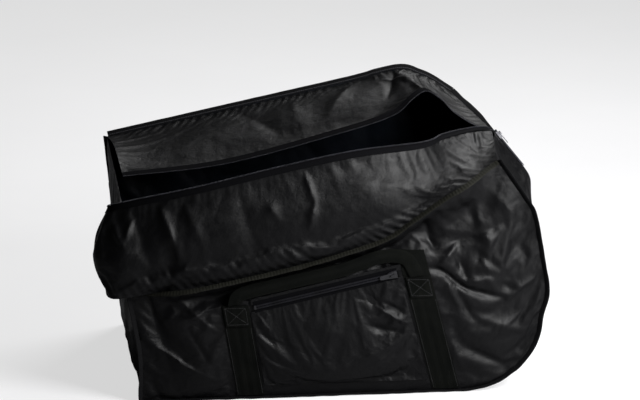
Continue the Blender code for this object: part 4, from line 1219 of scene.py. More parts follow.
@dataclass
class OpenFlap:
    """One half of the opened top gusset: a single sheet from the left end to the slider.

    It is sewn in along its seam, and its free rim carries one half of the long zip.
    """

    shop: Workshop
    name: str
    seam: Curve
    rim: Curve
    outside: Triple
    ends: tuple[np.ndarray, ...]
    plane: tuple[int, int]
    folds: tuple[Fold, ...]
    crumples: tuple[Crumple, ...]
    gathers: float
    slack: float
    rests_on: str
    rows: int = 46
    columns: tuple[int, int] = (110, 70)
    gather_pitch: float = 0.017
    gather_reach: float = 0.022
    gather_start: float = 0.004
    gather_slant: float = 0.7
    gather_wander: float = 3.0
    gather_sharpness: float = 0.8
    patch_least: float = 0.15
    patch_mean: float = 0.55
    patch_spread: float = 1.6
    patch_left: float = 1.3
    left_end: float = 0.03
    left_fade: float = 0.06
    seam_height: float = 0.20
    tape_width: float = 0.009
    tape_tuck: float = 0.004
    tape_off: float = 0.0009
    tape_wave: float = 0.0012
    tape_thickness: float = 0.0008
    coil_off: float = 0.0022

    def halves(self) -> tuple[list[Curve], list[Curve]]:
        """Seam and rim, each cut where the folding length meets the shoulder.

        Returns:
            Both seams and both rims.
        """
        form = self.shop.form
        split = form.hinge(self.seam)
        hinge = self.seam.at(split)
        crossing = self.rim.crossing(hinge, unit(hinge - self.seam.at(0.0)))
        moving = self.seam.part(0.0, split)
        if self.ends:
            first = form.bag_x(form.lip[1][0]) - form.webbing_width
            kept = [point for point in moving.points if point[0] > first]
            moving = Curve(list(self.ends) + kept[::8] + [kept[-1]])
        rims = [self.rim.part(0.0, crossing), self.rim.part(crossing, 1.0)]
        return [moving, self.seam.part(split, 1.0)], rims

    def surface(self) -> Grid:
        """Grid over both lengths, with the bulge of rolled cloth.

        Returns:
            The flap's grid.
        """
        form = self.shop.form
        up = np.linspace(0, 1, self.rows)
        swell = np.sin(math.pi * up)[None, :]
        grids = []
        for low, high, steps in zip(*self.halves(), self.columns):
            across = np.linspace(0, 1, steps)
            left, right = (straight(low.at(end), high.at(end)) for end in (0.0, 1.0))
            grid = stretched(low, high, left, right, across, up)
            fade = 1 - eased(across) if grids else np.ones(steps)
            if self.outside[1] < 0:
                grid[..., 1] -= form.flap_bulge * swell * fade[:, None]
                if not grids:
                    grid[..., 0] -= form.flap_bulge * swell * (1 - eased(across * 4))[:, None]
            else:
                grid[..., 2] += form.back_flap_arch * swell * fade[:, None]
            grids.append(grid[1:] if grids else grid)
        return self.gathered(np.concatenate(grids))

    def normals(self, grid: Grid) -> Grid:
        """Unit normals of the flap, on its outer side."""
        normals = grid_normals(grid)
        return -normals if looks_inward(grid, self.outside) else normals

    def gathered(self, grid: Grid) -> Grid:
        """Small slanting puckers where the cloth is drawn into its seam, deepest on the left.

        Args:
            grid: the smooth flap.

        Returns:
            The puckered grid.
        """
        along = np.concatenate([[0.0], np.cumsum(np.linalg.norm(np.diff(grid[:, 0], axis=0), axis=1))])
        along, height = np.meshgrid(along, np.linspace(0, 1, grid.shape[1]) * self.seam_height, indexing="ij")
        wander = unevenness(np.stack([along * 9.0, height * 5.0, np.full(along.shape, 3.1)], axis=-1), 1.0)
        row = along[:, :1]
        places = np.stack([row * 7.0, np.full(row.shape, 7.7), np.zeros(row.shape)], axis=-1)
        patchy = self.patch_mean + unevenness(places, 1.0) * self.patch_spread
        patchy = np.maximum(self.patch_least, patchy)
        leftward = eased((self.left_end - grid[:, :1, 0]) / self.left_fade)
        patchy = patchy + (self.patch_left - patchy) * leftward
        turns = (along + height * self.gather_slant) * math.pi / self.gather_pitch
        turns = turns + wander * self.gather_wander
        wave = 1.0 - 2.0 * np.abs(np.sin(turns)) ** self.gather_sharpness
        fade = np.exp(-height / self.gather_reach) * eased(height / self.gather_start)
        lift = self.gathers * wave * fade * patchy
        return grid + self.normals(grid) * lift[..., None]

    def dress(self, tape: Piece) -> None:
        """Matte twill along the rim. The cloth and the coil dress themselves."""
        self.shop.dress(tape, self.shop.tape)

    def rim_nodes(self, kind: str) -> tuple[str, str]:
        """The solids of one kind along the rim."""
        return f"{self.name}_flap_zip_{kind}", f"{self.name}_shoulder_zip_{kind}"

    def rim_tape(self, edge: np.ndarray, outward: np.ndarray, normals: np.ndarray) -> Piece:
        """Zip tape along the free edge, a little wavy.

        Args:
            edge: points along the rim.
            outward: ways out of the cloth there.
            normals: normals of its outer side there.

        Returns:
            The tape.
        """
        waves = unevenness(edge, 30.0)[:, None] * self.tape_wave
        offsets = np.linspace(-self.tape_tuck, self.tape_width, 6)
        grid = np.stack([edge + outward * offset
                         + normals * (self.tape_off + waves * max(offset, 0) / self.tape_width)
                         for offset in offsets], axis=1)
        obj = self.shop.grid_object(self.name + "_rim_tape", grid)
        self.dress(obj)
        self.shop.apply(obj, "SOLIDIFY", thickness=self.tape_thickness, offset=0.0)
        self.shop.smoothed(obj)
        return self.shop.placed(obj, "", "zip_tape", self.rim_nodes("tape"))

    def rim_coil(self, edge: np.ndarray, outward: np.ndarray, normals: np.ndarray) -> Piece:
        """Coil of small turns sewn along the tape's edge.

        Args:
            edge: points along the rim.
            outward: ways out of the cloth there.
            normals: normals of its outer side there.

        Returns:
            The coil.
        """
        path = Curve(edge + outward * self.tape_width + normals * self.coil_off, samples=len(edge))
        obj = RimCoil(self.shop, self.name + "_rim_coil", path, self.outside).build()
        return self.shop.placed(obj, "", "zip_coil", self.rim_nodes("coil"))

    def build(self) -> list[Piece]:
        """Builds the cloth, the tape and the coil, and bakes their placement into their meshes.

        Returns:
            The three pieces.
        """
        grid = self.surface()
        edge, outward, normals = grid[:, -1], unit(grid[:, -1] - grid[:, -2]), self.normals(grid)[:, -1]
        cloth = Cloth(self.shop, self.name + "_cloth", grid, self.outside,
                      (self.name + "_flap", self.name + "_shoulder"), "draped", (self.rests_on,), body="",
                      folds=self.folds, crumples=self.crumples, slack=self.slack, cap=0.012, gravity=0.3,
                      plane=self.plane).build()
        made = [cloth, self.rim_tape(edge, outward, normals), self.rim_coil(edge, outward, normals)]
        for obj in made:
            self.shop.bent(obj, self.seam, self.name + "_flap")
        return made


@dataclass
class TopGusset:
    """The opened top: its front half rolled outward over the lip, its back half drooping inward."""

    shop: Workshop
    front_folds: tuple[Fold, ...] = fold_rows(
        (-0.3418, 0.3700, -0.3100, 0.2800, -0.008, 0.022), (-0.2886, 0.3855, -0.2563, 0.2960, 0.012, 0.014),
        (-0.3759, 0.3517, -0.3645, 0.3199, 0.010, 0.006), (-0.3418, 0.3616, -0.3608, 0.3239, 0.008, 0.005),
        (-0.2468, 0.3954, -0.2184, 0.3318, 0.004, 0.012), (-0.1448, 0.4005, -0.1058, 0.2810, -0.004, 0.018),
        (-0.0949, 0.3954, -0.0759, 0.3656, 0.004, 0.010), (-0.0285, 0.4510, -0.0095, 0.3954, 0.006, 0.006),
        (-0.0095, 0.3954, -0.0190, 0.3457, 0.006, 0.006), (-0.0570, 0.3060, -0.0285, 0.2722, 0.007, 0.007),
        (0.0363, 0.4328, 0.1819, 0.4094, 0.004, 0.020), (0.3269, 0.4809, 0.1461, 0.3246, 0.007, 0.012),
        (0.3212, 0.4962, 0.3000, 0.4533, 0.005, 0.006), (0.3324, 0.4807, 0.3094, 0.4397, 0.005, 0.006),
        (0.3268, 0.4880, 0.3047, 0.4465, -0.004, 0.005),
    )
    front_crumples: tuple[Crumple, ...] = (
        Crumple(0.12, 0.004, 4.0),
        Crumple(0.05, 0.0035, 11.0, (-0.28, 0.31), 0.14, 0.10),
    )
    back_folds: tuple[Fold, ...] = fold_rows(
        (0.1859, 0.200, 0.1615, 0.120, -0.007, 0.010), (0.16, 0.180, 0.233, 0.140, 0.007, 0.009),
        (0.10, 0.190, 0.05, 0.110, 0.006, 0.016), (0.24, 0.170, 0.28, 0.110, -0.005, 0.010),
        (-0.12, 0.190, -0.05, 0.090, -0.006, 0.020),
    )
    back_crumples: tuple[Crumple, ...] = (Crumple(0.12, 0.004),)

    def build(self) -> list[Piece]:
        """Builds both halves, each of which dresses itself.

        Returns:
            The pieces of both halves.
        """
        form = self.shop.form
        ends = tuple(form.place(*triple) for triple in form.lip_end)
        front = OpenFlap(self.shop, "front", form.lip_seam, form.front_rim_edge, (0, -1, 0), ends, (0, 2),
                         self.front_folds, self.front_crumples, gathers=0.0030, slack=0.014,
                         rests_on="front_lip_binding")
        back = OpenFlap(self.shop, "back", form.back_top_seam, form.back_rim_edge, (0, 0, 1), (), (0, 1),
                        self.back_folds, self.back_crumples, gathers=0.0014, slack=0.018,
                        rests_on="back_top_binding")
        return front.build() + back.build()


@dataclass
class SewnTape:
    """Folded binding tape standing out of a seam, its section in shares of its width and half thickness."""

    shop: Workshop
    name: str
    path: Curve
    direction: Way
    width: float = 0.010
    thickness: float = 0.0020
    pucker: float = 0.0007
    trims: Pair = (0.0, 0.0)
    rib_pitch: float = 0.0044
    rib_rise: float = 0.0004
    body: str = "bag"
    finish: bpy.types.Material | None = None
    section_shares: tuple[Pair, ...] = (
        (-0.1, -0.8), (0.5, -1.0), (0.93, -0.8), (1.0, 0.0), (0.93, 0.8), (0.5, 1.0), (-0.1, 0.8))

    def dress(self, obj: Piece) -> None:
        """The tape's own finish, or else plain matte twill."""
        self.shop.dress(obj, self.finish or self.shop.binding)

    def build(self) -> Piece:
        """Sweeps the tape along the seam, ribbed by its stitches and a little puckered.

        Returns:
            The tape.
        """
        length = self.path.length
        steps = int(length / self.rib_pitch * 4)
        shares = np.linspace(self.trims[0] / length, 1 - self.trims[1] / length, steps)
        points, ahead = self.path.at(shares), self.path.ahead(shares, reach=0.01)
        out = self.direction(points, ahead)
        out = unit(out - (out * ahead).sum(axis=1, keepdims=True) * ahead)
        up = unit(np.cross(out, ahead))
        drift = unevenness(points, 45.0)[:, None] * self.pucker
        ribs = np.abs(np.sin(shares * length * math.pi / self.rib_pitch))[:, None] * self.rib_rise
        half = self.thickness / 2 - self.rib_rise / 2 + ribs
        grid = np.stack([points + out * self.width * a + up * (half * u + drift * max(a, 0) * 1.5)
                         for a, u in self.section_shares], axis=0)
        obj = self.shop.grid_object(self.name, grid)
        self.dress(obj)
        self.shop.faces_out(obj, closed=False)
        self.shop.smoothed(obj, 60.0)
        return self.shop.placed(obj, self.body, "seam_binding", (self.name.replace("_tape", ""),))


@dataclass
class Bindings:
    """Bound seams round the front and the back, and along their tops."""

    shop: Workshop
    lip_way: Triple = (0.0, -0.85, -0.53)
    top_way: Triple = (0.0, 0.6, 1.0)
    corner_way: Triple = (0.75, 0.65, 0.75)
    corner_reach: float = 0.030
    lip_pucker: float = 0.0012
    lip_rib_pitch: float = 0.0060
    lip_rib_rise: float = 0.0009
    end_gap: float = 0.006
    lip_end_gap: float = 0.001
    top_end_gap: float = 0.002

    @staticmethod
    def steady(way: Triple) -> Way:
        """The same direction at every point."""
        return lambda points, ahead: np.tile(way, (len(points), 1))

    def outward(self, forward: float) -> Way:
        """Direction out of a side seam: away from the panel and forward or back."""
        def direction(points: np.ndarray, ahead: np.ndarray) -> np.ndarray:
            """Directions at points, from the way that the seam runs on.

            Args:
                points: places on the seam.
                ahead: the way that it runs on there.

            Returns:
                The directions.
            """
            sideways = unit(np.stack([ahead[:, 2], np.zeros(len(ahead)), -ahead[:, 0]], axis=1))
            middle = np.array([0.0, 0.0, self.shop.form.height / 2])
            sideways = sideways * np.sign(((points - middle) * sideways).sum(axis=1))[:, None]
            level, upward = sideways[:, 0], np.maximum(sideways[:, 2], 0)
            return np.stack([level, np.full(len(ahead), forward), upward], axis=1)
        return direction

    def mitred(self, direction: Way) -> Way:
        """The same direction, turned near the back's upper right corner so that two tapes meet there.

        Args:
            direction: the tape's way out of its seam.

        Returns:
            The turned direction.
        """
        corner = self.shop.form.back_top_seam.at(1.0)

        def turned(points: np.ndarray, ahead: np.ndarray) -> np.ndarray:
            """Directions at points, from the way that the seam runs on."""
            near = 1 - eased(np.linalg.norm(points - corner, axis=1) / self.corner_reach)[:, None]
            return unit(direction(points, ahead)) * (1 - near) + unit(np.array(self.corner_way)) * near
        return turned

    @staticmethod
    def round_seam(left: Curve, foot: Curve, right: Curve) -> Curve:
        """One curve down the left side, along the foot and up the right side."""
        points = list(left.points[::-1][::8]) + list(foot.points[1::4]) + list(right.points[1:-3:4])
        return Curve(points + [right.points[-1]], samples=600)

    def build(self) -> list[Piece]:
        """Builds the four bindings, each of which dresses itself.

        Returns:
            The four tapes.
        """
        form = self.shop.form
        front = self.round_seam(form.front_left_seam, form.front_foot, form.front_right_seam)
        back = self.round_seam(form.back_left_seam, form.back_foot, form.back_right_seam)
        tapes = (
            SewnTape(self.shop, "front_seam_binding_tape", front, self.outward(-1.0),
                     trims=(self.end_gap, 0.0)),
            SewnTape(self.shop, "back_seam_binding_tape", back, self.mitred(self.outward(1.0))),
            # The lip's tape takes the twill copy painted lighter, a painted highlight.
            SewnTape(self.shop, "front_lip_binding_tape", form.lip_seam, self.steady(self.lip_way),
                     pucker=self.lip_pucker, trims=(self.end_gap, self.lip_end_gap), body="",
                     rib_pitch=self.lip_rib_pitch, rib_rise=self.lip_rib_rise, finish=self.shop.lip_binding_painted_highlight),
            SewnTape(self.shop, "back_top_binding_tape", form.back_top_seam,
                     self.mitred(self.steady(self.top_way)), trims=(self.top_end_gap, 0.0)),
        )
        made = [tape.build() for tape in tapes]
        self.shop.bent(made[2], form.lip_seam, "front_flap")
        return made


@dataclass
class Ground:
    """What lies under a laid piece, found by looking along Y."""

    form: BagForm
    side: Side
    under: str

    def __post_init__(self) -> None:
        """Builds a search tree of the piece below."""
        mesh = bpy.data.objects[self.under].data
        points = [v.co - Vector(self.form.shift) for v in mesh.vertices]
        self.tree = BVHTree.FromPolygons(points, [tuple(face.vertices) for face in mesh.polygons])

    def y(self, x: float, z: float) -> float:
        """How far out the piece below stands at a place, or the panel's form where there is none.

        Args:
            x, z: the place across and up.

        Returns:
            Y there.
        """
        way = self.side.value
        hit = self.tree.ray_cast(Vector((x, way * 1.0, z)), Vector((0, -way, 0)), 1.0)[0]
        return float(self.form.face(self.side)(np.array(x), np.array(z))) if hit is None else hit.y


@dataclass
class Strap:
    """Flat webbing laid on a panel and sewn down along both edges."""

    shop: Workshop
    ground: Ground
    name: str
    middle: Callable[[float], float]
    low: float
    top: float
    nodes: tuple[str, ...]
    width: float = 0.050
    thickness: float = 0.0018
    lift: float = 0.0004
    rounding: float = 0.0005
    give: float = 0.0005
    columns: int = 11
    rows: int = 60

    def dress(self, obj: Piece) -> None:
        """Ribbed webbing."""
        self.shop.dress(obj, self.shop.webbing)

    def build(self) -> Piece:
        """Lays the webbing over the cloth, stiffer than the cloth under it.

        Returns:
            The strap.
        """
        heights = np.linspace(self.low, self.top, self.rows)
        offsets = np.linspace(-0.5, 0.5, self.columns) * self.width
        sign = self.ground.side.value
        grid = np.zeros((self.columns, self.rows, 3))
        for i, offset in enumerate(offsets):
            for j, z in enumerate(heights):
                x = float(self.middle(z)) + offset
                grid[i, j] = (x, self.ground.y(x, float(z)), z)
        rise = grid[..., 1] * sign
        for _ in range(4):
            near = rise.copy()
            near[1:-1, :] = (rise[:-2, :] + rise[1:-1, :] + rise[2:, :]) / 3
            near[:, 1:-1] = (near[:, :-2] + near[:, 1:-1] + near[:, 2:]) / 3
            rise = np.maximum(near, rise - self.give)
        round_edge = (np.abs(offsets) / (self.width / 2)) ** 8 * self.rounding
        grid[..., 1] = sign * (rise + self.lift + self.thickness - round_edge[:, None])
        obj = self.shop.grid_object(self.name, grid if sign < 0 else grid[::-1])
        self.dress(obj)
        self.shop.apply(obj, "SOLIDIFY", thickness=self.thickness, offset=-1.0)
        self.shop.smoothed(obj)
        return self.shop.placed(obj, "bag", "bag_webbing", self.nodes)


@dataclass
class Stitches:
    """Rows of sewing thread, each stitch a small rounded bar."""

    shop: Workshop
    ground: Ground
    name: str
    runs: list[tuple[Pair, Pair]]
    length: float = 0.0030
    gap: float = 0.0012
    radius: float = 0.00045
    flatness: float = 0.7
    lift: float = 0.0003

    def stitch(self) -> tuple[np.ndarray, list[tuple[int, ...]]]:
        """One stitch, one long and one in radius.

        Returns:
            Its points and its faces.
        """
        bpy.ops.object.select_all(action="DESELECT")
        bpy.ops.mesh.primitive_cylinder_add(vertices=6, radius=1.0, depth=1.0)
        bpy.ops.object.mode_set(mode="EDIT")
        bpy.ops.mesh.select_all(action="SELECT")
        bpy.ops.mesh.bevel(offset=0.18, segments=1)
        bpy.ops.object.mode_set(mode="OBJECT")
        return self.shop.taken_apart(bpy.context.object)

    def dress(self, obj: Piece) -> None:
        """Black thread."""
        self.shop.dress(obj, self.shop.thread)

    def build(self) -> Piece:
        """Copies the stitch along every run.

        Returns:
            The stitches as one piece.
        """
        points, faces = self.stitch()
        sign = self.ground.side.value
        pitch = self.length + self.gap
        placed = []
        for start, end in self.runs:
            first, last = np.array(start), np.array(end)
            count = max(int(float(np.linalg.norm(last - first)) / pitch), 1)
            for number in range(count):
                ends = []
                for share in (number / count, (number + self.length / pitch) / count):
                    x, z = first + (last - first) * share
                    ends.append(np.array([x, self.ground.y(float(x), float(z)) + sign * self.lift, z]))
                long = np.linalg.norm(ends[1] - ends[0])
                ahead = (ends[1] - ends[0]) / long
                side = unit(np.cross(ahead, np.array([0.0, float(sign), 0.0])))
                out = np.cross(side, ahead)
                placed.append((ends[0] + ends[1]) / 2 + points[:, :1] * side * self.radius
                              + points[:, 1:2] * out * self.radius * self.flatness
                              + points[:, 2:3] * ahead * long)
        obj = self.shop.copies(self.name, np.array(placed), faces)
        self.dress(obj)
        self.shop.smoothed(obj, 60.0)
        return self.shop.placed(obj, "bag", "bag_webbing")


@dataclass
class Webbing:
    """The straps up both panels, with the handles' sewn ends and the stitches over them."""

    shop: Workshop
    above_foot: float = 0.004
    tail_length: float = 0.040
    tail_width: float = 0.044
    box_half_width: float = 0.019
    box_low: float = 0.036
    box_high: float = 0.004
    row_gap: float = 0.004
    row_offset: float = 0.0225

    def strap(self, ground: Ground, name: str, shares: Pair, top: float, reach: float) -> list[Piece]:
        """One strap, with its handle end, its crossed box of stitches and a row of them along each edge.

        Args:
            ground: the panel's cloth.
            name: the start of the pieces' names.
            shares: the strap's place across the bag at its foot and at the handle, as shares of the width.
            top: height of the handle's sewn end.
            reach: height up to which the strap runs.

        Returns:
            The four pieces.
        """
        form, side = self.shop.form, ground.side
        low = form.foot + self.above_foot

        def middle(z: float) -> float:
            """Middle of the strap at a height."""
            return form.strap_x(shares, top, z)

        def beside(offset: float, z: float) -> Pair:
            """Place beside the strap's middle."""
            return float(middle(z)) + offset, z

        strap = Strap(self.shop, ground, name + "_webbing", middle, low, reach, (name + "_strap",)).build()
        over = Ground(form, side, strap.name)
        tail = Strap(self.shop, over, name + "_handle_tail", middle, top - self.tail_length, top,
                     (name + "_handle_end",), width=self.tail_width).build()
        half, low_edge, high_edge = self.box_half_width, top - self.box_low, top - self.box_high
        corners = [beside(-half, low_edge), beside(half, low_edge), beside(half, high_edge),
                   beside(-half, high_edge)]
        box = [(corners[i], corners[j]) for i, j in ((0, 1), (1, 2), (2, 3), (3, 0), (0, 2), (1, 3))]
        rows = [(beside(x, low + self.row_gap), beside(x, top - self.tail_length - self.row_gap))
                for x in (-self.row_offset, self.row_offset)]
        cross = Stitches(self.shop, Ground(form, side, tail.name), name + "_cross_stitch", box).build()
        return [strap, tail, cross, Stitches(self.shop, over, name + "_edge_stitch", rows).build()]

    def build(self) -> list[Piece]:
        """Builds the straps on both sides, each piece of which dresses itself.

        Returns:
            The pieces of all four straps.
        """
        form = self.shop.form
        front = Ground(form, Side.FRONT, "front_panel_cloth")
        back = Ground(form, Side.BACK, "back_panel_cloth")
        straps = (("left", form.left_strap, form.left_strap_top, form.left_strap_top),
                  ("right", form.right_strap, form.right_strap_top, form.right_strap_reach))
        made, back_top = [], form.back_strap_top
        for name, shares, top, reach in straps:
            made += self.strap(front, "front_" + name, shares, top, reach)
            made += self.strap(back, "back_" + name, (shares[0], shares[0]), back_top, back_top)
        return made


@dataclass
class HandleLoop:
    """Free loop of webbing between two sewn ends, drawn in shares of its span and its rise."""

    shop: Workshop
    name: str
    side: Side
    ends: tuple[Pair, ...]
    loop_shares: tuple[Pair, ...]
    rise: float
    lean: float
    width: float = 0.026
    columns: int = 7
    thickness: float = 0.0020
    rounding: float = 0.0004
    crown: float = 0.0006
    clearance: float = 0.0006
    webbing: float = 0.0018
    sewn_gap: float = 0.0003
    steps: int = 90
    turn_steps: float = 6.0

    def band(self) -> Grid:
        """Points across and along the loop, which leaves its sewn ends along the webbing.

        Returns:
            The loop's grid.
        """
        sign = self.side.value
        layers = 1 if self.rise > 0 else 2
        lift = (1 + layers) * self.clearance + (layers + 0.5) * self.webbing + layers * self.sewn_gap
        face = self.shop.form.face(self.side)
        start, end = (np.array([x, float(face(np.array(x), np.array(z))) + sign * lift, z])
                      for x, z in self.ends)
        along = unit(end - start)
        span = np.linalg.norm(end - start)
        upright = np.array([0, 0, math.copysign(1.0, self.rise)])
        out = np.array([0, float(sign), 0])
        stand = unit(unit(upright - np.dot(upright, along) * along) + out * self.lean / abs(self.rise))
        normal = np.cross(along, stand)
        normal = normal if np.dot(normal, out) > 0 else -normal
        gap = stand * (self.clearance + abs(along[2]) * self.width / 2)
        path = Curve([start + gap + along * span * a + stand * abs(self.rise) * u
                      for a, u in self.loop_shares])
        centres = path.at(np.linspace(0, 1, self.steps))
        across = unit(np.cross(np.gradient(centres, axis=0), normal))
        free = eased(from_ends(self.steps) / self.turn_steps)[:, None]
        facing = along if np.dot(across[3], along) > 0 else -along
        sewn = np.where(np.arange(self.steps)[:, None] < self.steps // 2, facing, -facing)
        across = unit(across * free + sewn * (1 - free))
        grid = np.stack([centres + across * self.width / 2 * c + normal * (self.crown * (1 - c * c))
                         for c in np.linspace(-1, 1, self.columns)], axis=0)
        return grid[::-1] if looks_inward(grid, tuple(normal)) else grid

    def dress(self, obj: Piece) -> None:
        """Ribbed webbing."""
        self.shop.dress(obj, self.shop.webbing)

    def build(self) -> Piece:
        """Builds the loop with rounded edges.

        Returns:
            The loop.
        """
        obj = self.shop.grid_object(self.name + "_loop", self.band())
        self.dress(obj)
        self.shop.apply(obj, "SOLIDIFY", thickness=self.thickness, offset=0.0)
        self.shop.apply(obj, "BEVEL", width=self.rounding, segments=2, limit_method="ANGLE",
                        angle_limit=math.radians(60))
        self.shop.smoothed(obj)
        return self.shop.placed(obj, self.name, "bag_webbing", (self.name,))


@dataclass
class Handles:
    """The handles' free loops: the front one leans up against the panel, the back one hangs."""

    shop: Workshop
    front_shares: tuple[Pair, ...] = (
        (0.0, 0.0), (0.05, 0.40), (0.30, 0.56), (0.60, 0.72), (0.82, 1.0), (0.95, 0.78), (1.0, 0.0))
    front_rise: float = 0.048
    front_lean: float = -0.001
    back_shares: tuple[Pair, ...] = (
        (0.0, 0.0), (0.03, 0.45), (0.16, 0.86), (0.34, 1.0), (0.66, 1.0), (0.84, 0.86), (0.97, 0.45),
        (1.0, 0.0))
    back_rise: float = -0.120
    back_lean: float = 0.016

    def build(self) -> list[Piece]:
        """Builds both loops, each of which dresses itself.

        Returns:
            Both loops.
        """
        form = self.shop.form
        front_ends = ((float(form.left_strap_x(form.left_strap_top)), form.left_strap_top),
                      (float(form.right_strap_x(form.right_strap_top)), form.right_strap_top))
        back_ends = tuple((form.bag_x(strap[0]), form.back_strap_top)
                          for strap in (form.left_strap, form.right_strap))
        return [HandleLoop(self.shop, "front_handle", Side.FRONT, front_ends, self.front_shares,
                           self.front_rise, self.front_lean).build(),
                HandleLoop(self.shop, "back_handle", Side.BACK, back_ends, self.back_shares,
                           self.back_rise, self.back_lean).build()]


@dataclass
class Pocket:
    """Patch pocket between the front straps, and the strip above its zip."""

    shop: Workshop
    slot: float = 0.0082
    facing: float = 0.008
    tucked: float = 0.003
    puff: float = 0.012
    panel_off: float = 0.0030
    strip_off: float = 0.0026
    strip_thickness: float = 0.0014
    strip_steps: tuple[int, int] = (60, 5)
    strip_slack: float = 0.02
    panel_steps: tuple[int, int] = (96, 62)
    folds: tuple[Fold, ...] = fold_rows(
        (0.0676, 0.1981, 0.1222, 0.1883, -0.007, 0.009), (0.1222, 0.1883, 0.1598, 0.1627, -0.007, 0.008),
        (0.1071, 0.1824, 0.1636, 0.1450, 0.008, 0.009), (0.0920, 0.1450, 0.1617, 0.1254, -0.007, 0.010),
        (0.0431, 0.0723, 0.1222, 0.1057, -0.004, 0.005), (-0.1283, 0.1411, -0.0191, 0.0939, -0.006, 0.013),
        (-0.1094, 0.0369, -0.0191, 0.0213, 0.005, 0.008), (-0.1150, 0.1750, -0.0900, 0.1400, 0.004, 0.010),
        (-0.0300, 0.1500, 0.0500, 0.1300, 0.005, 0.030),
    )
    crumples: tuple[Crumple, ...] = (
        Crumple(0.075, 0.007, 3.0, (0.12, 0.16), 0.10, 0.45),
        Crumple(0.035, 0.003, 9.0, (0.13, 0.17), 0.06, 0.25),
    )

    def panel(self) -> Piece:
        """The pocket's front, sewn at its sides and foot and slack at its zip.

        Returns:
            The panel.
        """
        form = self.shop.form
        a, u = np.meshgrid(*(np.linspace(0, 1, steps) for steps in self.panel_steps), indexing="ij")
        (left, right), (foot_left, foot_right) = form.pocket_top(), form.pocket_sides(*[form.pocket_foot] * 2)
        top_x, foot_x = left + (right - left) * a, foot_left + (foot_right - foot_left) * a
        x = foot_x + (top_x - foot_x) * u
        z = form.pocket_foot + (form.zip_height(top_x) - self.slot - form.pocket_foot) * u
        swell = np.abs(np.sin(math.pi * a) * np.sin(math.pi * np.clip((u - 0.05) / 0.9, 0, 1))) ** 0.7
        grid = np.stack([x, form.front_face(x, z) - self.panel_off - self.puff * swell, z], axis=-1)
        return Cloth(self.shop, "pocket_cloth", grid, (0, -1, 0), ("pocket_panel",), "hung",
                     ("pocket_zip_lower_tape", "front_panel_cloth"), folds=self.folds, crumples=self.crumples,
                     slack=0.022, cap=0.007, gravity=0.2, roughened=0.0008).build()

    def dress(self, strip: Piece) -> None:
        """Polyester on the strip. The panel dresses itself."""
        self.shop.dress(strip, self.shop.cloth)

    def strip(self) -> Piece:
        """The strip of cloth that the zip's upper tape is sewn to.

        Returns:
            The strip.
        """
        form = self.shop.form
        left, right = form.pocket_top()
        columns, rows = self.strip_steps
        x = np.linspace(left, right, columns)
        heights = np.linspace(self.slot - self.tucked, self.slot + self.facing, rows)
        grid = np.stack([np.stack([x, np.zeros(columns), form.zip_height(x) + height], axis=1)
                         for height in heights], axis=1)
        grid[..., 1] = form.front_face(grid[..., 0], grid[..., 2]) - self.strip_off
        obj = self.shop.grid_object("pocket_facing_cloth", grid)
        self.dress(obj)
        self.shop.apply(obj, "SOLIDIFY", thickness=self.strip_thickness, offset=-1.0)
        self.shop.smoothed(obj)
        self.shop.placed(obj, "bag", "bag_cloth", ("pocket_top_facing",))
        return obj

    def build(self) -> list[Piece]:
        """Builds the pocket and its strip."""
        return [self.panel(), self.strip()]


@dataclass
class KeptSolids:
    """The solids that stay: base webbing, pocket zip, closed end of the long zip, sliders and pulls."""

    shop: Workshop

    def dress(self) -> None:
        """Gives every solid the finish of its slot. The pocket's coils take the copy painted near black,
        painted shade under the lip, and the long zip's the copy painted grey, a painted highlight.
        """
        shop = self.shop
        finishes = {"bag_cloth": shop.cloth, "bag_webbing": shop.webbing, "seam_binding": shop.binding,
                    "zip_tape": shop.tape, "zip_coil": shop.coil, "zip_metal": shop.metal,
                    "painted_zip_metal": shop.painted}
        slots = {part["node"]: part["material_slot"] for part in frame["record"]["subparts"]}
        for name, node in frame["nodes"].items():
            # Pocket coils: the nylon copy painted darker, painted shade under the lip.
            dark = slots[name] == "zip_coil" and name.startswith("pocket")
            shop.dress(node, shop.pocket_coil_painted_shade if dark else finishes[slots[name]])

    def build(self) -> list[Piece]:
        """Dresses the solids, whose meshes stay as they are."""
        self.dress()
        return list(frame["nodes"].values())


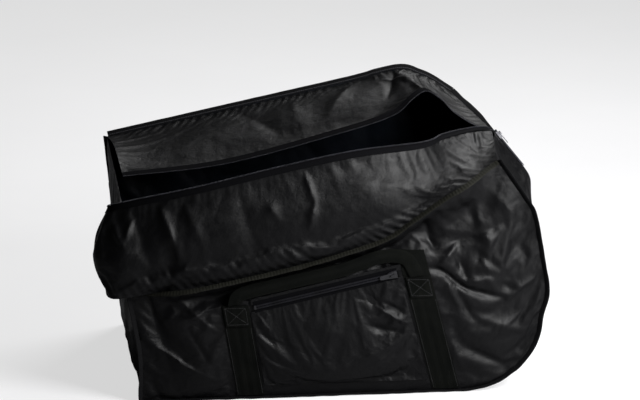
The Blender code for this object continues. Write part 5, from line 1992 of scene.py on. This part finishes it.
@dataclass
class StudioSet:
    """Floor, lamps, world and camera."""

    azimuth: float = -5.5
    elevation: float = 18.0
    distance: float = 6.0
    metres_per_pixel: float = 0.00189
    image_width: int = 640
    target: Triple = (0.0076, 0.0087, 0.3144)
    lamp_target: Triple = (0, 0, 0.25)
    floor_radius: float = 9.0
    faint: float = 0.05
    lamps: tuple = (("key", (0.95, -1.0, 1.1), 0.7, 48.0), ("low", (1.2, -1.2, 0.4), 0.8, 10.0),
                    ("back", (0.8, 1.2, 2.0), 1.2, 40.0))

    @staticmethod
    def stood(name: str, data: bpy.types.ID, place: Vector, target: Vector) -> Piece:
        """Stands a camera or a lamp at a place, looking at its target.

        Args:
            name: the object's name.
            data: the camera or the lamp.
            place: where it stands.
            target: what it looks at.

        Returns:
            The object.
        """
        obj = bpy.data.objects.new(name, data)
        bpy.context.scene.collection.objects.link(obj)
        obj.location = place
        obj.rotation_euler = (target - place).to_track_quat("-Z", "Y").to_euler()
        return obj

    def camera(self) -> None:
        """Camera at the photograph's angle and framing."""
        a, e = math.radians(self.azimuth), math.radians(self.elevation)
        way = Vector((math.sin(a) * math.cos(e), -math.cos(a) * math.cos(e), math.sin(e)))
        target = Vector(self.target)
        data = bpy.data.cameras.new("photo_camera")
        data.angle = 2 * math.atan(self.metres_per_pixel * self.image_width / 2 / self.distance)
        data.clip_end = self.distance * 10
        bpy.context.scene.camera = self.stood("photo_camera", data, target + way * self.distance, target)

    def light(self) -> None:
        """Soft square lamps that look at the bag."""
        for name, place, size, power in self.lamps:
            data = bpy.data.lights.new(name, "AREA")
            adjust(data, size=size, energy=power)
            self.stood(name, data, Vector(place), Vector(self.lamp_target))

    def world(self) -> None:
        """White to the camera, and a faint grey as light."""
        world = bpy.data.worlds.new("studio_world")
        bpy.context.scene.world = world
        bench = NodeBench(world, "Background")
        seen = bench.add("ShaderNodeLightPath").outputs["Is Camera Ray"]
        strength = bench.add("ShaderNodeMapRange", {"Value": seen, "To Min": self.faint, "To Max": 1.0})
        bench.feed(bench.shader, {"Color": (1, 1, 1, 1), "Strength": strength.outputs["Result"]})

    def floor(self) -> None:
        """Wide pale floor."""
        bpy.ops.object.select_all(action="DESELECT")
        bpy.ops.mesh.primitive_circle_add(vertices=96, radius=self.floor_radius, fill_type="NGON")
        obj = bpy.context.object
        obj.name = "studio_floor"
        Workshop.dress(obj, PaperSweep("studio_floor", "#8e8e90", "#969698", 0.9).made())

    def build(self) -> None:
        """Sets the scene up."""
        self.camera()
        self.world()
        self.floor()
        self.light()
        bpy.context.scene.view_settings.view_transform = "Standard"


def main() -> None:
    """Builds the studio and the bag in order, and keeps the sizes of both models."""
    logging.basicConfig(level=logging.INFO, format="%(message)s")
    noise.seed_set(CREASE_SEED)
    shop = Workshop(BagForm())
    StudioSet().build()
    for assembly in (Shell, TopGusset, Bindings, Webbing, Handles, Pocket, KeptSolids):
        for piece in assembly(shop).build():
            log.info("%s, %s: %d faces", assembly.__name__, piece.name, len(piece.data.polygons))
    bpy.context.view_layer.update()


if __name__ == "__main__":
    main()
